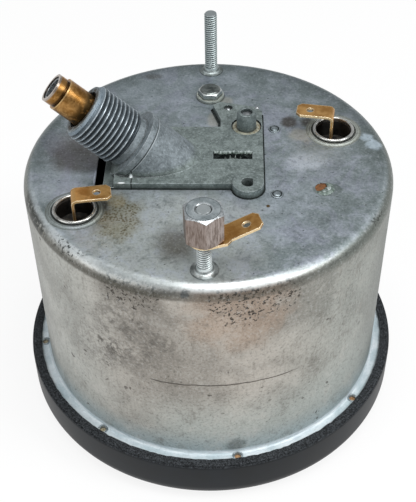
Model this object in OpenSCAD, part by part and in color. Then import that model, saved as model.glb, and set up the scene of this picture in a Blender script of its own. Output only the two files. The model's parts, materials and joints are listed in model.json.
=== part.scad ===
// Mechanical speedometer with an angled cable drive, lying face down on its bezel.
// Z = 0 is the front plane of the bezel and +Z points to the back of the instrument.
// The studs stand on the Y axis, and the cable spigot leans towards -X.

/* [Case] */
// Outer diameter of the drawn case
case_d = 114; // [108:0.5:118]
// Height of the case from the rear face of its flange to its back
case_h = 72.9; // [68:0.1:84]
// Thickness of the case sheet
sheet_t = 0.9; // [0.6:0.1:1.2]
// Outer radius of the edge between wall and back
case_edge_r = 4.2; // [2.5:0.1:5]
// Outer diameter of the flange at the mouth of the case
flange_d = 123.4; // [122:0.1:124]
// Fillet between the wall and the flange
flange_fillet_r = 1.2; // [0.6:0.1:1.8]
// Diameter of the small holes in the flange
flange_hole_d = 2.2; // [1.2:0.1:2.4]
// Number of holes in the flange
flange_hole_count = 8; // [4:1:16]

/* [Bezel and glass] */
// Outer diameter of the bezel
bezel_d = 126.6; // [126.2:0.1:130]
// Thickness of the bezel's metal
bezel_t = 1; // [0.6:0.1:1.2]
// Radius of the bezel's rounded front edge
bezel_front_r = 7; // [5:0.1:8]
// Radius of the rear edge that is rolled over the flange
bezel_roll_r = 1.5; // [1.2:0.1:2]
// Width of the lip where it lies on the flange
bezel_lip_w = 1.6; // [1.2:0.1:2]
// Diameter of the window in the bezel
window_d = 106; // [102:0.5:107]
// Depth from the bezel's front plane to the seal of the glass
glass_depth = 3.2; // [2.4:0.1:4]
// Thickness of the seal in front of the glass
lens_gasket_t = 1.4; // [1:0.1:2]
// Thickness of the glass
lens_t = 2.5; // [2:0.1:3]
// Height of the collar of the ring between glass and flange
visor_h = 7.9; // [6:0.1:12]
// Thickness of the cork ring in front of the flange
cork_t = 0.7; // [0.5:0.1:1.2]
// Thickness of the dial
dial_t = 0.8; // [0.5:0.1:1.2]

/* [Studs, nut and earth blade] */
// Distance between the two mounting studs
stud_spacing = 98.6; // [94:0.1:100]
// Offset of the studs' middle from the pointer's axis
stud_shift = 0.7; // [0:0.1:1]
// Thread diameter of the studs
stud_d = 4.2; // [3.5:0.1:5]
// Height of the studs above the back
stud_h = 21.9; // [18:0.1:40]
// Width across flats of the nut
nut_af = 10.2; // [9:0.1:13]
// Height of the nut
nut_h = 9.8; // [8:0.1:13]
// Reach of the earth blade from the middle of its stud, before it is bent
earth_l = 16.5; // [14:0.1:20]

/* [Cable drive] */
// Lean of the cable spigot above the back of the case, in degrees
spigot_lean = 42.5; // [40:0.5:48]
// Depth below the back at which the spigot's axis meets the pointer's axis
apex_depth = 15; // [14:0.1:18]
// Thread diameter of the spigot
spigot_d = 18; // [16:0.5:20]
// Length of the spigot's thread
spigot_thread_l = 15.5; // [12:0.5:20]
// Diameter of the cast hood that carries the spigot
hood_d = 22.4; // [21:0.1:24]
// Distance from the crossing of the axes to the end of the hood
hood_reach = 32.1; // [30:0.1:36]
// Outer diameter of the brass bush
bush_d = 10.3; // [9.6:0.1:11]
// Length of the bush outside the spigot
bush_out = 11.5; // [8:0.5:15]
// Diameter of the drive shaft
drive_shaft_d = 7.4; // [6.8:0.1:7.8]
// Width of the square socket for the cable
square_w = 2.8; // [2.4:0.1:3.2]

/* [Casting] */
// Rise of the casting above the back of the case
plate_rise = 2; // [1.2:0.1:3]
// Width of the cast plate along Y
plate_w = 28.5; // [27:0.1:30]
// Outer diameter of the tube boss on the casting
boss_d = 6.2; // [5.8:0.1:6.6]
// Rise of the tube boss above the back
boss_rise = 7.4; // [5:0.1:10]

/* [Lamp holders and blades] */
// Outer diameter of the rim of a lamp holder
lamp_rim_d = 13.2; // [13:0.1:14]
// Outer diameter of the tube of a lamp holder
lamp_tube_d = 11.9; // [11.4:0.1:12.2]
// Width of the blade terminals
blade_w = 6.3; // [4.8:0.1:6.5]
// Thickness of the blade terminals
blade_t = 0.8; // [0.5:0.1:1]
// Length of a lamp blade beyond its bend
lamp_blade_l = 11.8; // [9:0.1:14]
// Rise of the right lamp blade above the back
blade_rise_right = 7.1; // [5:0.1:10]
// Rise of the left lamp blade above the back
blade_rise_left = 6; // [5:0.1:10]

/* [Movement] */
// Teeth of the first worm wheel
worm_wheel_teeth = 20; // [18:1:22]
// Teeth of the wheel on the counter shaft
counter_wheel_teeth = 12; // [11:1:13]
// Teeth of the odometer's gear
odometer_teeth = 10; // [9:1:11]
// Teeth of each bevel gear
bevel_teeth = 12; // [11:1:13]
// Radius of the odometer wheels
odometer_wheel_r = 6; // [5:0.1:6.2]
// Spacing of the odometer wheels
odometer_pitch = 4; // [3.6:0.1:4.2]
// Radius of the magnet
magnet_r = 9.3; // [7:0.1:10]
// Length of the magnet
magnet_l = 8; // [6:0.1:9]
// Reach of the pointer from the middle of the dial
pointer_l = 44; // [36:0.5:48]

/* [Hidden] */
$fn = 64;
overcut = 0.2;
// Gap between turning pieces and their bearings
running_gap = 0.05;
// Gap that keeps pieces of different bodies apart
clear_gap = 0.3;
// Overlap of two shapes that are cast as one
bite = 1;

// Levels from the front of the instrument to its back
lens_z = glass_depth + lens_gasket_t;
visor_z = lens_z + lens_t;
cork_z = visor_z + visor_h;
flange_z = cork_z + cork_t;
flange_top_z = flange_z + sheet_t;
back_z = flange_top_z + case_h;
back_in_z = back_z - sheet_t;
plate_z = back_z + plate_rise;
apex_z = back_z - apex_depth;

// Case
case_r = case_d / 2;
flange_hole_inset = 0.5;
flange_hole_ring_r = case_r + flange_fillet_r + flange_hole_d / 2 - flange_hole_inset;
flange_hole_turn = 9.5;
lamp_right = [39.5, 15.4];
lamp_left = [-38.5, -24];
bead_r = 0.75;
bead_sink = 0.3;
bead_gap = 0.15;
access_at = [34.5, -13.1];
access_d = 4.6;
plug_sink = 0.2;

// Lamp holders
lamp_tube_r = lamp_tube_d / 2;
lamp_wall = 0.4;
lamp_bore_r = lamp_tube_r - lamp_wall;
lamp_lip_r = (lamp_rim_d / 2 - lamp_bore_r) / 2;
lamp_tube_l = 14;
insulator_depth = 5.5;
insulator_t = 2;
bulb_base_r = 4.2;
bulb_base_l = 12;
bulb_glass_r = 4.6;
// Turn, start and rise of each lamp blade
blade_right = [171, 0.2, blade_rise_right];
blade_left = [9.5, -0.7, blade_rise_left];

// Front
bezel_r = bezel_d / 2;
window_r = window_d / 2;
visor_inset = 0.2;
visor_in_r = window_r + visor_inset;
sleeve_gap = 0.4;
visor_sleeve_r = case_r - sheet_t - sleeve_gap;
stack_gap = 0.8;
stack_r = bezel_r - bezel_t - stack_gap;
lens_gap = 0.3;
lens_r = stack_r - lens_gap;
lens_gasket_inset = 0.8;
lens_gasket_r = lens_r - lens_gasket_inset;
cork_gap = 0.2;
dial_gap = 1.6;
dial_z = flange_z + dial_gap;
dial_r = visor_sleeve_r - sleeve_gap;
dial_back_z = dial_z + dial_t;

// Studs
stud_r = stud_d / 2;
stud_front_y = stud_shift - stud_spacing / 2;
stud_rear_y = stud_shift + stud_spacing / 2;
collar_w = 1.8;
collar_r = stud_r + collar_w;
collar_rim = 0.25;
collar_hollow_r = 1.6;
stud_head_lip = 0.3;
stud_head_r = max(stud_r + stud_head_lip, case_r - case_edge_r - stud_rear_y);
stud_head_h = 1.6;
nut_z = back_z + stud_h - nut_h;
nut_turn = 39;
nut_sink = 0.35;
hex_chamfer_angle = 35;
nut_land = 0.3;
hex_room = 0.5;
earth_turn = 17.5;
earth_bend_at = 7;
earth_tilt = 16.5;
earth_base_r = 4.5;
earth_shoulder_at = 5.3;
blade_hole_r = 1.1;
blade_hole_back = 4.2;
blade_corner = 1.3;
blade_bend_r = 0.9;

// Drive spigot, measured along its axis from the crossing of the axes
spigot_r = spigot_d / 2;
hood_r = hood_d / 2;
hood_ring_l = 2.2;
hood_step = 0.3;
neck_l = 2.4;
neck_step = 0.7;
neck_r = spigot_r - neck_step;
thread_start = hood_reach + neck_l;
spigot_end = thread_start + spigot_thread_l;
spigot_chamfer = 0.9;
bush_r = bush_d / 2;
mouth_gap = 1.1;
mouth_r = bush_r + mouth_gap;
mouth_depth = 7;
bush_start = 13;
bush_end = spigot_end + bush_out;
bush_lip_l = 2.5;
bush_groove_l = 0.8;
bush_lip_step = 0.6;
bush_lip_r = bush_r - bush_lip_step;
bush_groove_depth = 0.95;
bush_groove_r = bush_r - bush_groove_depth;
shaft_r = drive_shaft_d / 2;
shaft_sink = 0.4;
shaft_end = bush_end - shaft_sink;
shaft_cup_wall = 0.7;
shaft_cup_r = shaft_r - shaft_cup_wall;
shaft_cup_depth = 6;
square_depth = 16;
shaft_collar_w = 0.7;
shaft_collar_r = shaft_r + shaft_collar_w;
shaft_collar_l = 1.6;
shaft_neck_r = 1.6;
gear_bore_r = 1.2;

// Bevel gears at the crossing of the axes
bevel_half = (90 - spigot_lean) / 2;
bevel_in = 4.4;
bevel_out = 6.6;
bevel_pitch_r = bevel_in * tan(bevel_half);
bevel_tip = 0.26;
bevel_root = 0.4;
bevel_tip_share = 0.16;
bevel_root_share = 0.46;
bevel_room_r = 4.7;

// Bearing of the main spindle, a cup round the bevel gears
bearing_wall = 1.9;
bearing_r = bevel_room_r + bearing_wall;
bearing_l = 9;
bearing_floor = 0.4;
bearing_bore_top = 1;
bevel_room_dip = 1.6;
spindle_roof = 1;
spindle_end_gap = 0.4;

// First worm and its wheel
worm_pitch_r = 2.6;
worm_wheel_r = 5;
worm_pitch = 2 * PI * worm_wheel_r / worm_wheel_teeth;
worm_tip = 0.42;
worm_root = 0.6;
worm_tip_share = 0.16;
worm_root_share = 0.4;
wheel_root_share = 0.46;
bore_reach = 20;
worm_l = 5.2;
worm_facets = [24, 40];
wheel_rise = 4;
wheel_w = 2.6;
wheel_x = worm_pitch_r + worm_wheel_r;
wheel_z = apex_z + bevel_out + wheel_rise;
wheel_hub_r = 2;
wheel_hub_l = 1;
slot_gap = 0.6;

// Cross shaft and the wheel that it drives
cross_r = 1;
cross_worm_r = 1.8;
counter_wheel_r = 2.45;
cross_pitch = 2 * PI * counter_wheel_r / counter_wheel_teeth;
cross_tip = 0.27;
cross_root = 0.42;
cross_worm_l = 5;
cross_worm_facets = [20, 56];
cross_tail = 3.6;
counter_wheel_w = 1.8;
counter_x = wheel_x + cross_worm_r + counter_wheel_r;
counter_y = 15.2;
cross_start_y = -8;
cross_end_y = counter_y + cross_worm_l / 2 + cross_tail;

// Counter shaft and odometer
odometer_wheels = 6;
counter_r = 1;
boss_bore_r = 1.9;
boss_top_z = back_z + boss_rise;
boss_r = boss_d / 2;
boss_taper = 0.5;
boss_bevel = 1.1;
boss_sink = 0.6;
shaft_dome_h = 0.6;
shaft_dome_rim = 0.1;
boss_ring_w = 1.7;
boss_ring_r = boss_r + boss_ring_w;
boss_ring_depth = 0.9;
boss_washer_t = 0.5;
boss_washer_gap = 0.4;
odometer_worm_r = 3;
odometer_gear_r = 5.15;
odometer_starts = 2;
odometer_tip = 0.6;
odometer_root = 0.85;
odometer_worm_l = 5;
odometer_worm_facets = [32, 20];
counter_tail = 1;
odometer_gear_w = 2;
odometer_x = counter_x + odometer_worm_r + odometer_gear_r;
odometer_dial_gap = 0.8;
odometer_z = dial_back_z + odometer_wheel_r + odometer_dial_gap;
odometer_worm_gap = 0.6;
odometer_start_y = counter_y - odometer_worm_r - odometer_tip - odometer_worm_gap;
odometer_wheel_w = odometer_pitch - clear_gap;
odometer_end_y = odometer_start_y - odometer_wheels * odometer_pitch;
odometer_axle_r = 1;
number_rim_t = 1.2;
number_web_t = 1;
pinion_teeth = 8;
pinion_r = 1.8;
pinion_w = 1.6;
pinion_tooth_h = 0.8;
pinion_root_share = 0.6;
pinion_tip_share = 0.3;
pinion_x = odometer_x + odometer_wheel_r + pinion_r + clear_gap;
pinion_axle_r = 0.8;
cheek_t = 1.2;
cheek_gap = 1;
cheek_worm_gap = 0.8;
cheek_y = counter_y + odometer_gear_w / 2 + cheek_gap;
far_cheek_y = odometer_end_y - cheek_gap - cheek_t;
cheek_front_z = dial_back_z + cheek_gap;
cheek_in_x = counter_x + odometer_worm_r + odometer_tip + cheek_worm_gap;
cheek_out_x = pinion_x + pinion_r + cheek_gap;

// Front plate and what it carries
front_plate_t = 1.6;
front_plate_gap = 2;
front_plate_z = odometer_z + odometer_wheel_r + front_plate_gap;
front_plate_top_z = front_plate_z + front_plate_t;
front_plate_r = 38;
pillar_r = 3;
pillar_at = [18, 28];
wing_l = 76;
wing_t = 3;
wing_z = back_in_z - wing_t;
screw_y = 34.5;
screw_r = 2;
screw_head_af = 7;
screw_head_h = 2.3;
screw_land = 0.7;
screw_tail = 2;
washer_r = 4.5;
washer_t = 0.8;
rivet_at = [[20.8, 16.2], [20.8, -16.2]];
rivet_r = 1.2;
rivet_head_r = 1.9;
rivet_head_h = 0.5;
rivet_head_rim = 0.15;
wing_margin = 2;
wing_w = 2 * (rivet_at[0][0] + rivet_r + wing_margin);
dial_post_at = [-6, 26];
dial_post_r = 2;
dial_screw_r = 1;
dial_screw_head_r = 2;
dial_screw_head_h = 1;
dial_screw_l = 4;
dial_window = 6.4;

// Pointer and speed cup
pointer_hole_r = 2;
spindle_r = 1.5;
staff_r = 0.9;
pivot_r = 0.7;
pivot_l = 3.5;
cup_t = 0.5;
cup_gap = 0.6;
field_t = 1.5;
magnet_rise = 15;
magnet_z = front_plate_top_z + magnet_rise;
magnet_top_z = magnet_z + magnet_l;
field_gap = 1;
field_z = magnet_top_z + field_gap;
cup_drop = 4;
cup_z = magnet_z - cup_drop;
cup_hub_r = 2;
cup_hub_l = 2;
cup_in_r = magnet_r + cup_gap;
cup_r = cup_in_r + cup_t;
field_in_r = cup_r + cup_gap;
field_r = field_in_r + field_t;
pointer_lift = 5.2;
pointer_z = visor_z + pointer_lift;
pointer_t = 0.8;
pointer_hub_r = 5;
pointer_hub_h = 2.2;
pointer_root_w = 3.4;
pointer_tip_w = 0.8;
pointer_tail_l = 12;
pointer_turn = 225;
spring_rise = 5;
spring_z = front_plate_top_z + spring_rise;
spring_h = 0.8;
spring_in_r = 2.2;
spring_out_r = 8;
spring_turns = 5;
spring_steps = 24;
spring_t = 0.25;
spring_post_r = 0.7;
bush_flange_r = 3;
bush_flange_t = 1;
pointer_bush_r = 2.2;
pointer_bush_tail = 2;

// Casting plate, seen from the back
plate_left_x = -28;
plate_right_x = 16.9;
plate_mid_y = 0.4;
plate_y0 = plate_mid_y - plate_w / 2;
plate_y1 = plate_mid_y + plate_w / 2;
step_left_x = -31.3;
step_drop = 1.6;
cutout_left_x = -34;
cutout_gap = 0.5;
ear_gap = 0.9;
lug_shift = 0.3;
lug_at = [12.2, plate_y0 + lug_shift];
lug_r = 4.7;
lug_hole_r = 2.1;
lug_flat_x = 1.4;
lug_rise = 0.5;
ear_x = 3.65;
ear_bend_y = 19;
ear_tip = [1.1, 26.6];
ear_top = [3.4, 28.4];
ear_corner = [14.4, 25.7];
ear_side_y = 23.2;
ear_hole_at = [6, 25.2];
ear_hole_r = 1.45;
block_x = [-5, 16];
block_y = [-10, 21];
block_drop = 15;

// Outline of a gear with straight-sided teeth, a tooth in the direction of +X
function gear_points(teeth, root_r, tip_r, root_share, tip_share) = [
    for (i = [0 : teeth - 1]) each [
        for (corner = [[root_r, -root_share], [tip_r, -tip_share],
                [tip_r, tip_share], [root_r, root_share]])
            let (a = (i + corner[1] / 2) * 360 / teeth)
            [corner[0] * cos(a), corner[0] * sin(a)]
    ]
];

// Height of a worm's thread at a share of its pitch, from 0 at the root to 1 at the crest
function thread_height(share, root_share, tip_share) =
    let (off = abs(share - round(share)) * 2)
    off <= tip_share ? 1 : off >= root_share ? 0 : (root_share - off) / (root_share - tip_share);

// Cross-section of a worm, a crest in the direction of +X
function worm_points(starts, root_r, tip_r, root_share, tip_share, sides) = [
    for (i = [0 : sides - 1])
        let (r = root_r + (tip_r - root_r) * thread_height(i * starts / sides, root_share, tip_share))
        [r * cos(i * 360 / sides), r * sin(i * 360 / sides)]
];

// Points along a flat spiral between two radii
function spiral_points(in_r, out_r, turns, steps) = [
    for (i = [0 : turns * steps])
        let (r = in_r + (out_r - in_r) * i / (turns * steps))
        [r * cos(i * 360 / steps), r * sin(i * 360 / steps)]
];

// Turns +Z into the axis of the cable spigot, with its origin at the crossing of the axes
module along_spigot() {
    translate([0, 0, apex_z]) rotate([0, spigot_lean - 90, 0]) children();
}

// Turns +Z into +Y at a place given by X and Z
module along_y(x, z) {
    translate([x, 0, z]) rotate([-90, 0, 0]) children();
}

module rod(r, from, to) {
    translate([0, 0, from]) cylinder(r = r, h = to - from);
}

module tube(out_r, in_r, from, to) {
    difference() {
        rod(out_r, from, to);
        rod(in_r, from - overcut, to + overcut);
    }
}

// Rectangle in the profile of a turned piece
module band(r0, z0, r1, z1) {
    translate([r0, z0]) square([r1 - r0, z1 - z0]);
}

// Quarter of a rounded sheet edge in a profile, centred at [r, z] with signs that choose the quarter
module bend(r, z, out_r, in_r, side, up) {
    translate([r, z]) intersection() {
        difference() {
            circle(r = out_r);
            if (in_r > 0) circle(r = in_r);
        }
        translate([side < 0 ? -out_r : 0, up < 0 ? -out_r : 0]) square(out_r);
    }
}

// Disc with an upright rim and a domed top
module dome(r, rim, h) {
    cap_h = h - rim;
    ball_r = (r * r + cap_h * cap_h) / (2 * cap_h);
    rotate_extrude() intersection() {
        translate([0, h - ball_r]) circle(r = ball_r);
        band(0, 0, r, 2 * h);
    }
}

// Hexagon with its top turned off to a cone that leaves a land short of the flats, and its bottom
// too if both ends are turned
module hexagon_block(af, height, land, both_ends) {
    face_r = af / 2 - land;
    wide_r = af / sqrt(3) + hex_room;
    drop = (wide_r - face_r) * tan(hex_chamfer_angle);
    low = both_ends ? [[0, 0], [face_r, 0], [wide_r, drop]] : [[0, 0], [wide_r, 0]];
    intersection() {
        cylinder(r = af / sqrt(3), h = height, $fn = 6);
        rotate_extrude() polygon(concat(low, [[wide_r, height - drop], [face_r, height], [0, height]]));
    }
}

// Worm with its crest towards +X at the middle of its length; facets are its sides and slices
module worm(starts, pitch_r, pitch, root, tip, length, facets) {
    lead = starts * pitch;
    sides = facets[0];
    rotate([0, 0, -180 * length / lead])
        translate([0, 0, -length / 2])
            linear_extrude(height = length, twist = -360 * length / lead,
                slices = facets[1], segments = sides)
                polygon(worm_points(starts, pitch_r - root, pitch_r + tip,
                    worm_root_share, worm_tip_share, sides));
}

// Toothed wheel from its middle plane to both sides, with its hub as children and one bore through both
module toothed_wheel(teeth, pitch_r, root, tip, width, bore_r) {
    difference() {
        union() {
            linear_extrude(height = width, center = true)
                polygon(gear_points(teeth, pitch_r - root, pitch_r + tip, wheel_root_share, worm_tip_share));
            children();
        }
        rod(bore_r, -bore_reach, bore_reach);
    }
}

module bevel_gear(turn) {
    difference() {
        rotate([0, 0, turn]) translate([0, 0, bevel_in])
            linear_extrude(height = bevel_out - bevel_in, scale = bevel_out / bevel_in)
                polygon(gear_points(bevel_teeth, bevel_pitch_r - bevel_root, bevel_pitch_r + bevel_tip,
                    bevel_root_share, bevel_tip_share));
        rod(gear_bore_r, bevel_in - overcut, bevel_out + overcut);
    }
}

// Outline of the casting where it stands in the back of the case, widened by a gap
module plate_outline(left_x, gap, side_gap) {
    translate([left_x, plate_y0 - gap]) square([plate_right_x + gap - left_x, plate_w + 2 * gap]);
    polygon([
        [ear_x - side_gap, 0], [ear_x - side_gap, ear_bend_y], [ear_tip[0] - side_gap, ear_tip[1]],
        [ear_top[0] - side_gap, ear_top[1] + gap], [ear_corner[0] + gap, ear_corner[1] + gap],
        [plate_right_x + gap, ear_side_y + gap], [plate_right_x + gap, 0]
    ]);
}

module case_profile() {
    edge_z = back_z - case_edge_r;
    band(0, back_in_z, case_r - case_edge_r, back_z);
    bend(case_r - case_edge_r, edge_z, case_edge_r, case_edge_r - sheet_t, 1, 1);
    band(case_r - sheet_t, flange_z, case_r, edge_z);
    band(case_r - sheet_t, flange_z, flange_d / 2, flange_top_z);
    difference() {
        band(case_r - sheet_t, flange_top_z, case_r + flange_fillet_r, flange_top_z + flange_fillet_r);
        translate([case_r + flange_fillet_r, flange_top_z + flange_fillet_r]) circle(r = flange_fillet_r);
    }
}

module lamp_bead(at) {
    ring_r = lamp_rim_d / 2 + bead_gap + bead_r;
    translate([at[0], at[1], back_z]) rotate_extrude() intersection() {
        translate([ring_r, -bead_sink]) circle(r = bead_r);
        translate([ring_r - bead_r, -sheet_t / 2]) square([2 * bead_r, sheet_t / 2 + bead_r]);
    }
}

module case() {
    color("silver") difference() {
        union() {
            rotate_extrude() case_profile();
            lamp_bead(lamp_right);
            lamp_bead(lamp_left);
        }
        translate([0, 0, back_in_z - overcut]) linear_extrude(height = sheet_t + 2 * overcut)
            plate_outline(cutout_left_x, cutout_gap, ear_gap);
        translate(lug_at) rod(lug_r + cutout_gap, back_in_z - overcut, back_z + overcut);
        for (at = [lamp_right, lamp_left])
            translate(at)
                rod(lamp_tube_d / 2 + clear_gap / 2, back_in_z - overcut, back_z + bead_r + overcut);
        for (y = [stud_front_y, stud_rear_y])
            translate([0, y, 0]) rod(stud_r, back_in_z - overcut, back_z + overcut);
        for (side = [-1, 1])
            translate([0, side * screw_y, 0])
                rod(screw_r + running_gap, back_in_z - overcut, back_z + overcut);
        for (at = rivet_at)
            translate(at) rod(rivet_r, back_in_z - overcut, back_z + overcut);
        translate(access_at) rod(access_d / 2, back_in_z - overcut, back_z + overcut);
        for (i = [0 : flange_hole_count - 1])
            rotate([0, 0, flange_hole_turn + i * 360 / flange_hole_count])
                translate([flange_hole_ring_r, 0, 0])
                    rod(flange_hole_d / 2, flange_z - overcut, flange_top_z + overcut + flange_fillet_r);
    }
}

module bezel() {
    front_x = bezel_r - bezel_front_r;
    roll_z = flange_top_z + bezel_t - bezel_roll_r;
    color("dimgray") rotate_extrude() {
        band(window_r, 0, front_x, bezel_t);
        band(window_r, 0, window_r + bezel_t, glass_depth);
        bend(front_x, bezel_front_r, bezel_front_r, bezel_front_r - bezel_t, 1, -1);
        band(bezel_r - bezel_t, bezel_front_r, bezel_r, roll_z);
        bend(bezel_r - bezel_roll_r, roll_z, bezel_roll_r, bezel_roll_r - bezel_t, 1, 1);
        band(flange_d / 2 - bezel_lip_w, flange_top_z, bezel_r - bezel_roll_r, flange_top_z + bezel_t);
    }
}

module flange_gasket() {
    color("peru") tube(flange_d / 2 - cork_gap, visor_sleeve_r + cork_gap, cork_z, flange_z);
}

module lens_gasket() {
    color("black") tube(lens_gasket_r, window_r, glass_depth, lens_z);
}

module lens() {
    color("lightcyan") rod(lens_r, lens_z, visor_z);
}

module visor_ring() {
    color("black") rotate_extrude() {
        band(visor_in_r, visor_z, stack_r, cork_z);
        band(visor_in_r, visor_z, visor_sleeve_r, dial_z);
    }
}

module dial() {
    color("black") difference() {
        rod(dial_r, dial_z, dial_back_z);
        rod(pointer_hole_r, dial_z - overcut, dial_back_z + overcut);
        translate([odometer_x - dial_window / 2, odometer_end_y, dial_z - overcut])
            cube([dial_window, odometer_start_y - odometer_end_y, dial_t + 2 * overcut]);
        for (side = [-1, 1])
            translate([dial_post_at[0], side * dial_post_at[1], 0])
                rod(dial_screw_r, dial_z - overcut, dial_back_z + overcut);
    }
}

module dial_screws() {
    color("silver") for (side = [-1, 1])
        translate([dial_post_at[0], side * dial_post_at[1], 0]) {
            rod(dial_screw_head_r, dial_z - dial_screw_head_h, dial_z);
            rod(dial_screw_r, dial_z - dial_screw_head_h, dial_back_z + dial_screw_l);
        }
}

// Hood and spigot of the casting, turned about the axis of the cable
module spigot_body() {
    rotate_extrude() difference() {
        union() {
            band(0, bevel_in, hood_r - hood_step, hood_reach);
            band(0, hood_reach - hood_ring_l, hood_r, hood_reach);
            band(0, hood_reach, neck_r, thread_start);
            polygon([
                [0, thread_start], [spigot_r - spigot_chamfer, thread_start],
                [spigot_r, thread_start + spigot_chamfer], [spigot_r, spigot_end - spigot_chamfer],
                [spigot_r - spigot_chamfer, spigot_end], [0, spigot_end]
            ]);
        }
        band(-hood_r, 0, 0, spigot_end + overcut);
    }
}

module drive_casting() {
    color("slategray") difference() {
        union() {
            translate([0, 0, wing_z]) linear_extrude(height = wing_t)
                square([wing_w, wing_l], center = true);
            translate([0, 0, wing_z]) linear_extrude(height = plate_z - wing_z)
                plate_outline(plate_left_x, 0, 0);
            translate([step_left_x, plate_y0, wing_z])
                cube([plate_left_x - step_left_x + bite, plate_w, plate_z - step_drop - wing_z]);
            translate([lug_at[0], lug_at[1], 0]) rod(lug_r, wing_z, plate_z + lug_rise);
            translate([block_x[0], block_y[0], plate_z - block_drop])
                cube([block_x[1] - block_x[0], block_y[1] - block_y[0], block_drop - plate_rise - sheet_t]);
            rod(bearing_r, apex_z - bearing_l, wing_z);
            along_spigot() spigot_body();
        }
        casting_bores();
    }
    color("slategray") tube_boss();
}

// Tube that the counter shaft runs in, bevelled at its end
module tube_boss() {
    foot_z = plate_z - boss_ring_depth - overcut;
    translate([counter_x, counter_y, 0]) rotate_extrude() polygon([
        [boss_bore_r, foot_z], [boss_r, foot_z], [boss_r, boss_top_z - boss_bevel],
        [boss_r - boss_taper, boss_top_z], [boss_bore_r, boss_top_z]
    ]);
}

// Hole of the lug, round with one flat side
module lug_hole() {
    bottom_z = wing_z - overcut;
    translate([lug_at[0], lug_at[1], 0]) intersection() {
        rod(lug_hole_r, bottom_z, plate_z + lug_rise + overcut);
        translate([lug_flat_x - 2 * lug_r, -lug_r, bottom_z - overcut])
            cube([2 * lug_r, 2 * lug_r, plate_z + lug_r - bottom_z]);
    }
}

// Everything that is cored or bored out of the casting
module casting_bores() {
    along_spigot() {
        rod(bush_r, bush_start, spigot_end + overcut);
        rod(mouth_r, spigot_end - mouth_depth, spigot_end + overcut);
        rod(bevel_room_r, bevel_in - bevel_room_dip, bush_start);
    }
    rod(bevel_room_r, apex_z + bearing_floor, wheel_z + worm_l / 2 + clear_gap);
    rod(spindle_r + running_gap, apex_z - bearing_l - overcut, apex_z + bearing_bore_top);
    rod(gear_bore_r + running_gap, wheel_z, plate_z - spindle_roof);
    wheel_room();
    along_y(wheel_x, wheel_z) rod(cross_r + running_gap, cross_start_y - clear_gap, cross_end_y + clear_gap);
    counter_room();
    translate([counter_x, counter_y, 0]) rod(boss_ring_r, plate_z - boss_ring_depth, plate_z + overcut);
    for (side = [-1, 1])
        translate([0, side * screw_y, 0]) rod(screw_r, wing_z - overcut, back_z);
    for (at = rivet_at)
        translate(at) rod(rivet_r, wing_z - overcut, back_z);
    lug_hole();
    translate(ear_hole_at) rod(ear_hole_r, wing_z - overcut, plate_z + overcut);
}

// Room for the worm wheel, open to the back as a slot
module wheel_room() {
    room_r = worm_wheel_r + worm_tip + slot_gap;
    room_w = wheel_w + 2 * slot_gap;
    along_y(wheel_x, wheel_z) rod(room_r, -room_w / 2 - wheel_hub_l, room_w / 2 + wheel_hub_l);
    translate([wheel_x - room_r, -room_w / 2, wheel_z])
        cube([2 * room_r, room_w, plate_z - wheel_z + overcut]);
}

// Room for the cross worm and the wheel on the counter shaft, open to the inside of the case
module counter_room() {
    worm_room_r = cross_worm_r + cross_tip + clear_gap;
    wheel_room_r = counter_wheel_r + cross_tip + clear_gap;
    room_l = cross_worm_l + 2 * clear_gap;
    bottom_z = plate_z - block_drop - overcut;
    translate([wheel_x - worm_room_r, counter_y - room_l / 2, bottom_z])
        cube([counter_x + wheel_room_r - wheel_x + worm_room_r, room_l, wheel_z + worm_room_r - bottom_z]);
    translate([counter_x, counter_y, 0]) {
        rod(boss_bore_r, wheel_z, boss_top_z + overcut);
        rod(counter_r + running_gap, bottom_z, wheel_z);
    }
}

module casting_screws() {
    head_z = back_z + washer_t;
    color("silver") for (side = [-1, 1]) translate([0, side * screw_y, 0]) {
        rod(screw_r, wing_z - screw_tail, head_z);
        translate([0, 0, head_z]) hexagon_block(screw_head_af, screw_head_h, screw_land, false);
    }
}

module casting_washers() {
    color("gainsboro") for (side = [-1, 1])
        translate([0, side * screw_y, 0]) tube(washer_r, screw_r, back_z, back_z + washer_t);
}

module casting_rivets() {
    color("silver") for (at = rivet_at) translate(at) {
        rod(rivet_r, wing_z, back_z);
        translate([0, 0, back_z]) dome(rivet_head_r, rivet_head_rim, rivet_head_h);
    }
}

module boss_washer() {
    floor_z = plate_z - boss_ring_depth;
    color("wheat") translate([counter_x, counter_y, 0])
        tube(boss_ring_r - boss_washer_gap, boss_r, floor_z, floor_z + boss_washer_t);
}

module access_plug() {
    color("saddlebrown") translate(access_at) rod(access_d / 2, back_in_z, back_z - plug_sink);
}

module drive_bush() {
    lip_z = bush_end - bush_lip_l;
    color("goldenrod") along_spigot() difference() {
        union() {
            rod(bush_r, bush_start, lip_z - bush_groove_l);
            rod(bush_groove_r, lip_z - bush_groove_l - overcut, lip_z + overcut);
            rod(bush_lip_r, lip_z, bush_end);
        }
        rod(shaft_r + running_gap, bush_start - overcut, bush_end + overcut);
    }
}

module drive_shaft() {
    collar_z = bush_start - clear_gap - shaft_collar_l;
    color("gray") along_spigot() difference() {
        union() {
            rod(gear_bore_r, bevel_in, bevel_out);
            rod(shaft_neck_r, bevel_out, collar_z);
            rod(shaft_collar_r, collar_z, collar_z + shaft_collar_l);
            rod(shaft_r, collar_z, shaft_end);
        }
        rod(shaft_cup_r, shaft_end - shaft_cup_depth, shaft_end + overcut);
        translate([-square_w / 2, -square_w / 2, shaft_end - square_depth])
            cube([square_w, square_w, square_depth]);
    }
}

module drive_gear() {
    color("tan") along_spigot() bevel_gear(180 / bevel_teeth);
}

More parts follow.
